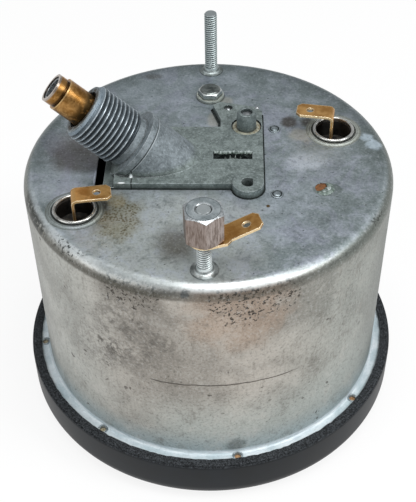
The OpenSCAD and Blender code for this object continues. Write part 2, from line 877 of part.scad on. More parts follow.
module main_spindle() {
    color("gray") difference() {
        union() {
            rod(spindle_r, magnet_z, apex_z + bevel_in);
            rod(gear_bore_r, apex_z + bevel_in, plate_z - spindle_roof - spindle_end_gap);
            translate([0, 0, wheel_z])
                worm(1, worm_pitch_r, worm_pitch, worm_root, worm_tip, worm_l, worm_facets);
        }
        rod(pivot_r + running_gap, magnet_z - overcut, magnet_z + pivot_l + clear_gap);
    }
}

module spindle_gear() {
    color("tan") translate([0, 0, apex_z]) bevel_gear(180);
}

module magnet() {
    color("darkslategray") tube(magnet_r, spindle_r, magnet_z, magnet_top_z);
}

module field_cup() {
    color("darkgray") rotate_extrude() {
        band(spindle_r, field_z, field_r, field_z + field_t);
        band(field_in_r, cup_z + cup_t, field_r, field_z);
        band(spindle_r, field_z, 2 * spindle_r, field_z + 2 * field_t);
    }
}

module drag_cup() {
    color("gainsboro") rotate_extrude() {
        band(staff_r, cup_z, cup_r, cup_z + cup_t);
        band(cup_in_r, cup_z, cup_r, magnet_top_z - cup_gap);
        band(staff_r, cup_z - cup_hub_l, cup_hub_r, cup_z);
    }
}

module pointer_spindle() {
    color("gray") {
        rod(staff_r, pointer_z, cup_z + cup_t);
        rod(pivot_r, cup_z, magnet_z + pivot_l);
    }
}

module pointer() {
    color("orangered") rotate([0, 0, pointer_turn]) difference() {
        union() {
            translate([0, 0, pointer_z]) linear_extrude(height = pointer_t) polygon([
                [-pointer_tail_l, -pointer_root_w / 2], [0, -pointer_root_w / 2],
                [pointer_l, -pointer_tip_w / 2], [pointer_l, pointer_tip_w / 2],
                [0, pointer_root_w / 2], [-pointer_tail_l, pointer_root_w / 2]
            ]);
            rod(pointer_hub_r, pointer_z - pointer_hub_h / 2, pointer_z + pointer_hub_h / 2);
        }
        rod(staff_r, pointer_z, pointer_z + pointer_hub_h);
    }
}

module hairspring() {
    inside = spiral_points(spring_in_r - spring_t, spring_out_r - spring_t, spring_turns, spring_steps);
    outside = spiral_points(spring_in_r, spring_out_r, spring_turns, spring_steps);
    color("darkgoldenrod") translate([0, 0, spring_z]) linear_extrude(height = spring_h)
        polygon(concat(outside, [for (i = [len(inside) - 1 : -1 : 0]) inside[i]]));
    color("darkgoldenrod") tube(spring_in_r, staff_r + running_gap, spring_z, spring_z + spring_h);
}

module spring_post() {
    color("silver") translate([spring_out_r + spring_post_r, 0, 0])
        rod(spring_post_r, front_plate_top_z, spring_z + 2 * spring_h);
}

module pointer_bush() {
    tail_z = front_plate_top_z + pointer_bush_tail;
    color("goldenrod") difference() {
        union() {
            rod(pointer_bush_r, front_plate_z, tail_z);
            rod(bush_flange_r, front_plate_z - bush_flange_t, front_plate_z);
        }
        rod(staff_r + running_gap, front_plate_z - bush_flange_t - overcut, tail_z + overcut);
    }
}

module cross_shaft() {
    color("gray") along_y(wheel_x, wheel_z) {
        rod(cross_r, cross_start_y, cross_end_y);
        translate([0, 0, counter_y])
            worm(1, cross_worm_r, cross_pitch, cross_root, cross_tip, cross_worm_l, cross_worm_facets);
    }
}

module worm_wheel() {
    color("goldenrod") along_y(wheel_x, wheel_z) {
        hub_half_l = wheel_w / 2 + wheel_hub_l;
        rotate([0, 0, 180 + 180 / worm_wheel_teeth])
            toothed_wheel(worm_wheel_teeth, worm_wheel_r, worm_root, worm_tip, wheel_w, cross_r)
                rod(wheel_hub_r, -hub_half_l, hub_half_l);
    }
}

module counter_shaft() {
    end_z = boss_top_z - boss_sink - shaft_dome_h;
    color("gray") translate([counter_x, counter_y, 0]) {
        rod(counter_r, odometer_z - odometer_worm_l / 2 - counter_tail, wheel_z + counter_wheel_w);
        rod(boss_bore_r - running_gap, wheel_z + counter_wheel_w, end_z);
        translate([0, 0, end_z]) dome(boss_bore_r - running_gap, shaft_dome_rim, shaft_dome_h);
        translate([0, 0, odometer_z]) worm(odometer_starts, odometer_worm_r,
            2 * PI * odometer_gear_r / odometer_teeth, odometer_root, odometer_tip,
            odometer_worm_l, odometer_worm_facets);
    }
}

module counter_wheel() {
    color("goldenrod") translate([counter_x, counter_y, wheel_z])
        rotate([0, 0, 180 + 180 / counter_wheel_teeth])
            toothed_wheel(counter_wheel_teeth, counter_wheel_r, cross_root, cross_tip,
                counter_wheel_w, counter_r);
}

module front_plate() {
    color("lightgray") difference() {
        rod(front_plate_r, front_plate_z, front_plate_top_z);
        rod(pointer_bush_r, front_plate_z - overcut, front_plate_top_z + overcut);
        translate([counter_x, counter_y, 0])
            rod(counter_r + running_gap, front_plate_z - overcut, front_plate_top_z + overcut);
    }
}

module frame_pillars() {
    color("silver") for (x = [-1, 1], y = [-1, 1])
        translate([x * pillar_at[0], y * pillar_at[1], 0]) rod(pillar_r, front_plate_top_z, wing_z);
}

module dial_posts() {
    color("silver") for (side = [-1, 1])
        translate([dial_post_at[0], side * dial_post_at[1], 0])
            difference() {
                rod(dial_post_r, dial_back_z, front_plate_z);
                rod(dial_screw_r, dial_back_z - overcut, dial_back_z + dial_screw_l);
            }
}

module counter_frame() {
    cheek_l = cheek_out_x - cheek_in_x;
    color("silver") difference() {
        union() {
            for (y = [cheek_y, far_cheek_y])
                translate([cheek_in_x, y, cheek_front_z])
                    cube([cheek_l, cheek_t, front_plate_z - cheek_front_z]);
            translate([cheek_in_x, far_cheek_y, front_plate_z - cheek_t])
                cube([cheek_l, cheek_y + cheek_t - far_cheek_y, cheek_t]);
        }
        along_y(odometer_x, odometer_z)
            rod(odometer_axle_r, far_cheek_y - overcut, cheek_y + cheek_t + overcut);
        along_y(pinion_x, odometer_z)
            rod(pinion_axle_r, far_cheek_y - overcut, cheek_y + cheek_t + overcut);
    }
}

module odometer_axle() {
    color("silver") along_y(odometer_x, odometer_z)
        rod(odometer_axle_r, far_cheek_y - cheek_t, cheek_y + 2 * cheek_t);
}

module odometer_gear() {
    color("ivory") along_y(odometer_x, odometer_z)
        translate([0, 0, counter_y]) rotate([0, 0, 180 + 180 / odometer_teeth])
            toothed_wheel(odometer_teeth, odometer_gear_r, odometer_root, odometer_tip, odometer_gear_w,
                odometer_axle_r + running_gap)
                rod(2 * odometer_axle_r, odometer_start_y - counter_y, 0);
}

// One number wheel with a hub, a web and a rim
module odometer_wheel(place) {
    top_y = odometer_start_y - (place - 1) * odometer_pitch;
    mid = odometer_wheel_w / 2;
    color(place == 1 ? "white" : "black")
        along_y(odometer_x, odometer_z) translate([0, 0, top_y - odometer_wheel_w]) rotate_extrude() {
            band(odometer_axle_r + running_gap, 0, 2 * odometer_axle_r, odometer_wheel_w);
            band(odometer_axle_r + running_gap, mid - number_web_t / 2,
                odometer_wheel_r, mid + number_web_t / 2);
            band(odometer_wheel_r - number_rim_t, 0, odometer_wheel_r, odometer_wheel_w);
        }
}

module transfer_pinions() {
    color("ivory") along_y(pinion_x, odometer_z) {
        rod(pinion_axle_r, far_cheek_y, cheek_y + cheek_t);
        for (i = [1 : odometer_wheels - 1])
            translate([0, 0, odometer_start_y - i * odometer_pitch])
                linear_extrude(height = pinion_w, center = true)
                    polygon(gear_points(pinion_teeth, pinion_r - pinion_tooth_h, pinion_r,
                        pinion_root_share, pinion_tip_share));
    }
}

module mounting_studs() {
    collar_h = collar_rim + collar_hollow_r;
    color("silver") for (y = [stud_front_y, stud_rear_y]) translate([0, y, 0]) {
        rod(stud_r, back_in_z, back_z + stud_h);
        rod(stud_head_r, back_in_z - stud_head_h, back_in_z);
        translate([0, 0, back_z]) rotate_extrude() difference() {
            band(0, 0, collar_r, collar_h);
            translate([collar_r, collar_h]) circle(r = collar_hollow_r);
        }
    }
}

module stud_nut() {
    bore_r = stud_r + running_gap;
    color("darkgray") translate([0, stud_front_y, nut_z]) difference() {
        rotate([0, 0, nut_turn]) hexagon_block(nut_af, nut_h, nut_land, true);
        rod(bore_r, -overcut, nut_h + overcut);
        translate([0, 0, nut_h - nut_sink])
            cylinder(r1 = bore_r, r2 = bore_r + 2 * nut_sink, h = 2 * nut_sink);
    }
}

// Flat blade along +X with bevelled corners at its tip and a small hole
module blade_flat(start, reach) {
    linear_extrude(height = blade_t) difference() {
        polygon([
            [start, -blade_w / 2], [reach - blade_corner, -blade_w / 2], [reach, blade_corner - blade_w / 2],
            [reach, blade_w / 2 - blade_corner], [reach - blade_corner, blade_w / 2], [start, blade_w / 2]
        ]);
        translate([reach - blade_hole_back, 0]) circle(r = blade_hole_r);
    }
}

module earth_blade() {
    color("goldenrod") translate([0, stud_front_y, nut_z - blade_t]) rotate([0, 0, earth_turn]) difference() {
        union() {
            rod(earth_base_r, 0, blade_t);
            linear_extrude(height = blade_t) polygon([
                [0, -earth_base_r], [earth_shoulder_at, -earth_base_r], [earth_bend_at, -blade_w / 2],
                [earth_bend_at, blade_w / 2], [earth_shoulder_at, earth_base_r], [0, earth_base_r]
            ]);
            translate([earth_bend_at, 0, 0]) rotate([0, -earth_tilt, 0])
                blade_flat(0, earth_l - earth_bend_at);
        }
        rod(stud_r + running_gap, -overcut, blade_t + overcut);
    }
}

// Lamp holder pieces, each at the middle of its holder
module lamp_at(at) {
    translate([at[0], at[1], back_z]) children();
}

module lamp_shell(at) {
    lip_z = running_gap + lamp_lip_r;
    color("lightgray") lamp_at(at) rotate_extrude() {
        band(lamp_bore_r, -lamp_tube_l, lamp_tube_r, lip_z);
        translate([lamp_bore_r + lamp_lip_r, lip_z]) circle(r = lamp_lip_r);
    }
}

module lamp_insulator(at) {
    color("black") lamp_at(at) rod(lamp_bore_r, -insulator_depth - insulator_t, -insulator_depth);
}

module lamp_blade(at, blade) {
    out_r = blade_bend_r + blade_t;
    rise = blade[2];
    color("goldenrod") lamp_at(at) rotate([0, 0, blade[0]]) translate([blade[1], 0, 0]) {
        translate([0, -blade_w / 2, -insulator_depth])
            cube([blade_t, blade_w, insulator_depth + rise - out_r]);
        translate([out_r, blade_w / 2, rise - out_r]) rotate([90, 0, 0]) linear_extrude(height = blade_w)
            bend(0, 0, out_r, blade_bend_r, -1, 1);
        translate([0, 0, rise - blade_t]) blade_flat(out_r, lamp_blade_l);
    }
}

module lamp_bulb(at) {
    base_z = -insulator_depth - insulator_t - bulb_base_l;
    color("lightyellow") lamp_at(at) {
        rod(bulb_base_r, base_z, base_z + bulb_base_l);
        translate([0, 0, base_z - bulb_glass_r / 2]) sphere(r = bulb_glass_r);
    }
}

case();
bezel();
flange_gasket();
lens_gasket();
lens();
visor_ring();
dial();
dial_screws();
drive_casting();
casting_screws();
casting_washers();
casting_rivets();
boss_washer();
access_plug();
drive_bush();
drive_shaft();
drive_gear();
main_spindle();
spindle_gear();
magnet();
field_cup();
drag_cup();
pointer_spindle();
pointer();
hairspring();
spring_post();
pointer_bush();
cross_shaft();
worm_wheel();
counter_shaft();
counter_wheel();
front_plate();
frame_pillars();
dial_posts();
counter_frame();
odometer_axle();
odometer_gear();
odometer_wheel(1);  // odometer_wheel_1
odometer_wheel(2);  // odometer_wheel_2
odometer_wheel(3);  // odometer_wheel_3
odometer_wheel(4);  // odometer_wheel_4
odometer_wheel(5);  // odometer_wheel_5
odometer_wheel(6);  // odometer_wheel_6
transfer_pinions();
mounting_studs();
stud_nut();
earth_blade();
lamp_shell(lamp_right);  // lamp_shell_right
lamp_insulator(lamp_right);  // lamp_insulator_right
lamp_blade(lamp_right, blade_right);  // lamp_blade_right
lamp_bulb(lamp_right);  // lamp_bulb_right
lamp_shell(lamp_left);  // lamp_shell_left
lamp_insulator(lamp_left);  // lamp_insulator_left
lamp_blade(lamp_left, blade_left);  // lamp_blade_left
lamp_bulb(lamp_left);  // lamp_bulb_left
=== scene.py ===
"""Looks of an old round instrument that lies face down and shows its plated back, built round the frame."""

import json
import math

import bmesh
import bpy
import numpy as np
from mathutils import Matrix, Vector


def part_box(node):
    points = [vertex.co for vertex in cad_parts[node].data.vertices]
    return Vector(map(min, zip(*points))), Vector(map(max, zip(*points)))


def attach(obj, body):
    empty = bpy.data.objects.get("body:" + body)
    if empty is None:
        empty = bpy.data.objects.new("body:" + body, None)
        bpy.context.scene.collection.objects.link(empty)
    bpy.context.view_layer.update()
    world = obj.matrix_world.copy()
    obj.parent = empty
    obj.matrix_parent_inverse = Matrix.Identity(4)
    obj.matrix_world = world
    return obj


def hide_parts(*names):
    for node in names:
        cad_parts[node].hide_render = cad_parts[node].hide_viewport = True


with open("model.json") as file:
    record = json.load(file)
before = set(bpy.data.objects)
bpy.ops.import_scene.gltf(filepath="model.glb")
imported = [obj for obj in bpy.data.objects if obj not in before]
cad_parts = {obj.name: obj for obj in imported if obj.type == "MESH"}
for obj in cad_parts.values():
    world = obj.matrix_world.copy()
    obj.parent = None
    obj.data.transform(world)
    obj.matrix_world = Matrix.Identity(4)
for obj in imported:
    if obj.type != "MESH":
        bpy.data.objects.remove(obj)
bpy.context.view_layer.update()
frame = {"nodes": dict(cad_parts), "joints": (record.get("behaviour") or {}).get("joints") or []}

# Units, and places that the frame gives in metres
MM = 0.001
TURN = 2 * math.pi
JOINTS = {joint["name"]: joint for joint in frame["joints"]}
FLANGE_T = 0.9 * MM
BACK_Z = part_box("casting_washers")[0].z
FLANGE_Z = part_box("case")[0].z + FLANGE_T
STUD_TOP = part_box("mounting_studs")[1].z
SPIGOT_AT = np.array(JOINTS["drive_spin"]["pos_m"])
SPIGOT_AXIS = np.array(JOINTS["drive_spin"]["axis"]) / np.linalg.norm(JOINTS["drive_spin"]["axis"])
SPIGOT_OUT = SPIGOT_AXIS * math.copysign(1.0, SPIGOT_AXIS[2])
CROSSING = np.array([0.0, 0.0, SPIGOT_AT[2] - SPIGOT_AT[0] * SPIGOT_AXIS[2] / SPIGOT_AXIS[0]])

# Places in millimetres, from the middle of the back
STUD_SPOTS = ((0.0, -48.6), (0.0, 50.0))
RIVET_SPOTS = ((20.8, 16.2), (20.8, -16.2))
SOCKET_SPOTS = ((39.5, 15.4), (-38.5, -24.0))
SCREW_OUT = 34.5


# Shapes: grids of points that become closed meshes

def basis(axis):
    """Three unit vectors u, v, w at right angles, with w along the axis."""
    w = np.asarray(axis, float) / np.linalg.norm(axis)
    side = np.array([1.0, 0.0, 0.0]) if abs(w[0]) < 0.9 else np.array([0.0, 1.0, 0.0])
    u = np.cross(side, w)
    u /= np.linalg.norm(u)
    return u, np.cross(w, u), w


def round_axis(radius, height, angle, at=(0.0, 0.0, 0.0), axis=(0.0, 0.0, 1.0)):
    """Points at + radius (u cos angle + v sin angle) + height w, for arrays that broadcast together."""
    u, v, w = basis(axis)
    radius, height, angle = np.broadcast_arrays(radius, height, angle)
    outward = np.cos(angle)[..., None] * u + np.sin(angle)[..., None] * v
    return np.asarray(at) + radius[..., None] * outward + height[..., None] * w


def circle_angles(steps):
    """Angles of one full circle, without the repeated end."""
    return np.linspace(0.0, TURN, steps, endpoint=False)


def turned(profile, steps=96, at=(0.0, 0.0, 0.0), axis=(0.0, 0.0, 1.0)):
    """A turned shape: each profile point (radius, height) carried round the axis."""
    radius, height = np.asarray(profile, float).T
    return round_axis(radius[:, None], height[:, None], circle_angles(steps)[None, :], at, axis)


def arc(centre, radius, start, end, steps=12):
    """Points (r, h) on an arc in a profile, from one angle in degrees to another."""
    angle = np.radians(np.linspace(start, end, steps))
    return [(centre[0] + radius * math.cos(a), centre[1] + radius * math.sin(a)) for a in angle]


def thread_height(turns, crest=0.12, root=0.9):
    """Height of a V thread, 1 on its crest and 0 in its root, from the turns counted along it."""
    off = np.abs(turns - np.round(turns)) * 2
    return np.clip((root - off) / (root - crest), 0.0, 1.0)


def threaded(major, depth, pitch, start, end, leads, at, axis=(0.0, 0.0, 1.0), steps=96, rows_a_turn=14):
    """A rod of radius major - depth (1 - V thread of height / pitch - angle / turn), with coned ends."""
    rows = int((end - start) / pitch * rows_a_turn)
    height = np.linspace(start, end, rows)[:, None]
    angle = circle_angles(steps)[None, :]
    radius = major - depth * (1 - thread_height(height / pitch - angle / TURN))
    first, last = leads
    cone = np.minimum(major - first + (height - start), major - last + (end - height) * 0.8)
    side = round_axis(np.minimum(radius, cone), height, angle, at, axis)
    caps = [round_axis(0.0, h, angle, at, axis) for h in (start, end)]
    return np.concatenate([caps[0], side, caps[1]])


def with_ends(side):
    """A strip closed at both ends: a row before the first and one after the last shrink to their middles."""
    ends = [np.broadcast_to(side[row].mean(0), side[row].shape)[None] for row in (0, -1)]
    return np.concatenate([ends[0], side, ends[1]])


def grid_faces(rows, columns):
    """Quads between the points of a grid whose last column joins its first."""
    row = np.arange(rows - 1)[:, None] * columns
    here = np.arange(columns)[None, :]
    beside = (here + 1) % columns
    quads = [row + here, row + beside, row + columns + beside, row + columns + here]
    return np.stack(quads, -1).reshape(-1, 4)


def as_object(name, mesh, smooth=38.0):
    """An object for a finished mesh, shaded smooth up to an angle in degrees."""
    mesh.shade_smooth()
    mesh.set_sharp_from_angle(angle=math.radians(smooth))
    made = bpy.data.objects.new(name, mesh)
    bpy.context.scene.collection.objects.link(made)
    return made


def closed_mesh(name, points, faces):
    """A mesh with its doubles merged, so that poles and seams close, and its faces turned outwards."""
    mesh = bpy.data.meshes.new(name)
    mesh.from_pydata(np.asarray(points).reshape(-1, 3).tolist(), [], [list(face) for face in faces])
    work = bmesh.new()
    work.from_mesh(mesh)
    bmesh.ops.remove_doubles(work, verts=work.verts, dist=0.0005 * MM)
    bmesh.ops.recalc_face_normals(work, faces=work.faces)
    work.to_mesh(mesh)
    work.free()
    return mesh


def joined(name, parts, smooth=38.0):
    """One object from (points, faces) parts."""
    points, faces, count = [], [], 0
    for part_points, part_faces in parts:
        points.append(part_points)
        faces += [[index + count for index in face] for face in part_faces]
        count += len(part_points)
    return as_object(name, closed_mesh(name, np.concatenate(points), faces), smooth)


def surface(name, *grids, smooth=38.0):
    """One object from grids of points [row, column, xyz], each closed round its columns."""
    parts = [(grid.reshape(-1, 3), grid_faces(*grid.shape[:2]).tolist()) for grid in grids]
    return joined(name, parts, smooth)


def merged_copy(node, name, reshape, smooth=30.0):
    """A copy of a CAD node whose points reshape(points) has moved, with its loose triangles merged."""
    source = frame["nodes"][node].data
    points = np.empty(len(source.vertices) * 3)
    source.vertices.foreach_get("co", points)
    faces = [list(face.vertices) for face in source.polygons]
    return as_object(name, closed_mesh(name, reshape(points.reshape(-1, 3)), faces), smooth)


# Shaders: sockets in expressions, with lengths in millimetres

BACK = BACK_Z / MM
FLANGE = FLANGE_Z / MM


class Wire:
    """A socket in an expression: arithmetic adds Math nodes, and node() adds a node of any other kind."""

    def __init__(self, tree, socket=None):
        self.tree = tree
        self.socket = socket

    def node(self, kind, settings=None, values=None, out=0):
        """Adds a node, sets its settings, then the values or links of its sockets, and gives one output."""
        made = self.tree.nodes.new("ShaderNode" + kind)
        for name, value in (settings or {}).items():
            setattr(made, name, value)
        for name, value in (values or {}).items():
            if isinstance(value, Wire):
                self.tree.links.new(value.socket, made.inputs[name])
            else:
                made.inputs[name].default_value = value
        return Wire(self.tree, made.outputs[out])

    def math(self, operation, first, second=0.0):
        return self.node("Math", {"operation": operation}, {0: first, 1: second})

    def vector(self, operation, first, second=(0.0, 0.0, 0.0), out="Vector"):
        return self.node("VectorMath", {"operation": operation}, {0: first, 1: second}, out)

    def __add__(self, other):
        return self.math("ADD", self, other)

    def __radd__(self, other):
        return self.math("ADD", other, self)

    def __sub__(self, other):
        return self.math("SUBTRACT", self, other)

    def __rsub__(self, other):
        return self.math("SUBTRACT", other, self)

    def __mul__(self, other):
        return self.math("MULTIPLY", self, other)

    def __rmul__(self, other):
        return self.math("MULTIPLY", other, self)

    def __abs__(self):
        return self.math("ABSOLUTE", self)

    def root(self):
        return self.math("SQRT", self)

    def step(self, low, high):
        """0 below low, 1 above high and smooth between; the other way round where low is the larger."""
        if low > high:
            return 1 - self.step(high, low)
        return self.node("MapRange", {"interpolation_type": "SMOOTHSTEP"}, {0: self, 1: low, 2: high})


def rgb(red, green, blue):
    """A colour as it reads on a screen, from 0 to 255, as linear values."""
    shown = np.array([red, green, blue]) / 255
    linear = np.where(shown <= 0.04045, shown / 12.92, ((shown + 0.055) / 1.055) ** 2.4)
    return (*linear.tolist(), 1.0)


def place(w):
    """Object coordinates, which are the part's own frame, in millimetres."""
    return w.vector("MULTIPLY", w.node("TexCoord", out="Object"), (1 / MM, 1 / MM, 1 / MM))


def part_of(vector, axis):
    """One of a vector's three numbers."""
    return vector.node("SeparateXYZ", values={0: vector}, out=axis)


def over_back(p):
    """Places across and along the back, and the height over it."""
    return part_of(p, 0), part_of(p, 1), part_of(p, 2) - BACK


def facing(w, axis):
    """How far a surface faces along an axis, from -1 to 1."""
    return part_of(w.node("TexCoord", out="Normal"), axis)


def stretched(p, x, y, z):
    """Coordinates scaled apart along the axes."""
    return p.node("Mapping", values={"Vector": p, "Scale": (x, y, z)})


def noise(p, grain, detail=3.0, roughness=0.55, distortion=0.0):
    """Soft noise about 0.5, of a given grain."""
    values = {"Vector": p, "Scale": 1 / grain, "Detail": detail, "Roughness": roughness,
              "Distortion": distortion}
    return p.node("TexNoise", values=values)


def cells(p, grain):
    """Distance from the nearest of scattered points, in cells of a given grain."""
    return p.node("TexVoronoi", values={"Vector": p, "Scale": 1 / grain})


def mix(mask, low, high):
    """Colour low where the mask is 0 and high where it is 1."""
    return mask.node("Mix", {"data_type": "RGBA"}, {0: mask, 6: low, 7: high}, out=2)


def tint(colour, mask, *shown):
    """A colour that turns to a shown one, from 0 to 255, where the mask is 1."""
    return mix(mask, colour, rgb(*shown))


def two_tone(mask, dark, pale):
    """Two tones of one colour, parted softly where noise passes its middle."""
    return mix(mask.step(0.35, 0.65), rgb(*dark), rgb(*pale))


def spot(p, at, reach, ragged=0.0, grain=3.0, shape=(1.0, 1.0, 1.0), core=0.45):
    """A round mask: 1 in its core, soft to its reach, drawn out by a shape and ragged by noise."""
    off = p.vector("DIVIDE", p.vector("SUBTRACT", p, at), shape)
    away = p.vector("LENGTH", off, out="Value")
    if ragged:
        away = away + (noise(p, grain) - 0.5) * (ragged * 2)
    return away.step(reach, reach * core)


def from_axis(p, x, y):
    """Distance from an upright line at x, y."""
    return p.vector("DISTANCE", p.vector("MULTIPLY", p, (1.0, 1.0, 0.0)), (x, y, 0.0), "Value")


def along_spigot(p):
    """Distance from the spigot's axis, and distance along it from the crossing of the shafts."""
    off = p.vector("SUBTRACT", p, tuple(CROSSING / MM))
    radius = p.vector("LENGTH", p.vector("CROSS_PRODUCT", off, tuple(SPIGOT_OUT)), out="Value")
    return radius, p.vector("DOT_PRODUCT", off, tuple(SPIGOT_OUT), "Value")


def ring(away, radius, width):
    """A thin ring: 1 where a distance is the radius, and 0 past half the width."""
    return abs(away - radius).step(width / 2, width * 0.15)


def corners(w, reach):
    """1 in each nook and where pieces meet, from how much the nearby ground covers the sky: a mask for dirt
    and painted shade.
    """
    sky = w.node("AmbientOcclusion", {"samples": 8}, {"Distance": reach * MM}, out="AO")
    return sky.step(0.86, 0.5)


def rounded(w, radius):
    """The normal of edges that are rounded to a radius."""
    return w.node("Bevel", {"samples": 6}, {"Radius": radius * MM})


def worn_edges(w, radius):
    """1 along sharp edges and 0 on flat ground, from how far the rounded normal turns away."""
    flat = w.node("NewGeometry", out="True Normal")
    return w.vector("DOT_PRODUCT", rounded(w, radius), flat, "Value").step(0.99, 0.86)


def bump(height, depth, normal=None):
    """A normal bent by a height that runs from 0 to 1, over a depth."""
    values = {"Height": height, "Distance": depth * MM, "Strength": 1.0}
    if normal is not None:
        values["Normal"] = normal
    return height.node("Bump", values=values)


def varied(middle, waves, swing):
    """A value that noise swings about its middle."""
    return middle + (waves - 0.5) * swing


def paint_of(colour, roughness, normal, **others):
    """What a paint function gives: the sockets that vary, under the shader's own names."""
    return {"Base Color": colour, "Roughness": roughness, "Normal": normal, **others}


def material(name, paint, fixed):
    """A material: fixed gives constants of its shader, and paint(w) the sockets that vary over it."""
    made = bpy.data.materials.new(name)
    made.use_nodes = True
    shader = made.node_tree.nodes["Principled BSDF"]
    for socket, value in fixed.items():
        shader.inputs[socket].default_value = value
    for socket, value in paint(Wire(made.node_tree)).items():
        made.node_tree.links.new(value.socket, shader.inputs[socket])
    return made


# Finish of the plated case

CREASE_Z = 50.0
COLLAR_TONES = ((184, 186, 174), (134, 140, 134))


def back_tone(p, mottle):
    """Colour of the back: bluish plate with pale blotches, an olive stain on the left, small marks, a painted
    highlight at the front, painted shadows of the spigot, lamp blades, earth blade and nut, and painted light
    beside the left lamp blade.
    """
    tone = two_tone(noise(p, 26, 4, 0.65, 0.4), (140, 152, 153), (170, 181, 187))
    tone = tint(tone, noise(p, 13, 4, 0.7, 0.6).step(0.48, 0.64) * 0.7, 176, 181, 197)
    # Painted highlight: a broad lighter area over the front left of the back.
    painted_highlight_front = spot(p, (-10, -38, BACK), 34, 8, 9)
    tone = tint(tone, painted_highlight_front * 0.75, 204, 210, 206)
    patches = noise(p, 2.4, 5, 0.8)
    tone = tint(tone, patches.step(0.5, 0.72) * 0.45, 196, 205, 212)
    tone = tint(tone, patches.step(0.5, 0.28) * 0.4, 98, 107, 108)
    tone = tint(tone, mottle.step(0.48, 0.66) * 0.6, 194, 202, 213)
    tone = tint(tone, mottle.step(0.48, 0.32) * 0.5, 108, 118, 119)
    pale = spot(p, (30.1, -0.7, BACK), 6.6, 2.6, 4, (1.2, 0.85, 1.0))
    tone = tint(tone, pale * noise(p, 4, 4, 0.7, 0.8).step(0.34, 0.5) * 0.8, 216, 224, 233)
    by_right_socket = spot(p, (36.7, 5.0, BACK), 9, 3)
    tone = tint(tone, by_right_socket * 0.4, 196, 206, 210)
    stain = spot(p, (-25.3, -26.8, BACK), 10, 5, 5, (0.85, 1.4, 1.0))
    dots = cells(p, 0.75).step(0.6, 0.3) * noise(p, 2.6).step(0.34, 0.56)
    tone = tint(tone, stain * 0.5, 152, 144, 104)
    tone = tint(tone, stain * dots * 0.7, 98, 82, 42)
    # Painted light: a pale spot that lifts the shade next to the left lamp blade.
    painted_light_by_blade = spot(p, (-27.2, -19.6, BACK), 4, 2)
    tone = tint(tone, painted_light_by_blade * 0.4, 206, 190, 152)
    # Painted shadow: a dark spot under the left lamp blade.
    painted_shadow_under_blade = spot(p, (-31.0, -21.6, BACK), 2.8, 1)
    tone = tint(tone, painted_shadow_under_blade * 0.8, 54, 46, 32)
    smudge = spot(p, (-19.8, 46.0, BACK), 3.4, 1.5, 2, (1.2, 0.6, 1.0))
    tone = tint(tone, smudge * 0.55, 92, 84, 68)
    # Painted shadow: brownish shade on the back, left of the spigot.
    painted_spigot_shadow = spot(p, (-38.7, 5.0, BACK), 15, 5, 6)
    tone = tint(tone, painted_spigot_shadow * 0.65, 98, 88, 80)
    # Painted shadows: two dark brown patches cast by the right lamp blade.
    painted_blade_shadows = spot(p, (25.6, 20.0, BACK), 4.2, 1.4, shape=(0.8, 1.0, 1.0))
    painted_blade_shadows = painted_blade_shadows + spot(p, (31.5, 20.0, BACK), 3.8, 1.4, shape=(0.8, 0.9, 1.0))
    tone = tint(tone, painted_blade_shadows * 0.85, 76, 64, 54)
    # Painted shadow: dark brown shade to the left of the nut.
    painted_nut_shadow = spot(p, (-7.8, -38.0, BACK), 9.5, 2, 4, (1.0, 1.1, 1.0), 0.25)
    tone = tint(tone, painted_nut_shadow * 0.75, 84, 77, 62)
    cream = spot(p, (1.5, 20.8, BACK), 3.4, 1, shape=(0.9, 1.6, 1.0))
    cream = cream + spot(p, (5.0, 31.8, BACK), 3.0, 1)
    cream = cream + spot(p, (29.0, 13.0, BACK), 4.6, 2, 3)
    tone = tint(tone, cream * 0.5, 212, 208, 194)
    rust_dot = spot(p, (18.0, -21.6, BACK), 0.8)
    tone = tint(tone, rust_dot, 96, 74, 36)
    round_plug = spot(p, (35.8, -14.0, BACK), 3.7, 0.5, 2, (1.3, 0.9, 1.0), 0.85)
    tone = tint(tone, round_plug * 0.55, 92, 105, 98)
    # Painted shadow: a dark spot on the back where it shows through the earth blade's hole.
    painted_shadow_through_blade_hole = spot(p, (11.8, -30.0, BACK), 2.8)
    tone = tint(tone, painted_shadow_through_blade_hole * 0.85, 76, 76, 64)
    specks = noise(p, 1.1, 2, 0.6).step(0.7, 0.74)
    return tint(tone, specks * 0.8, 60, 64, 62)


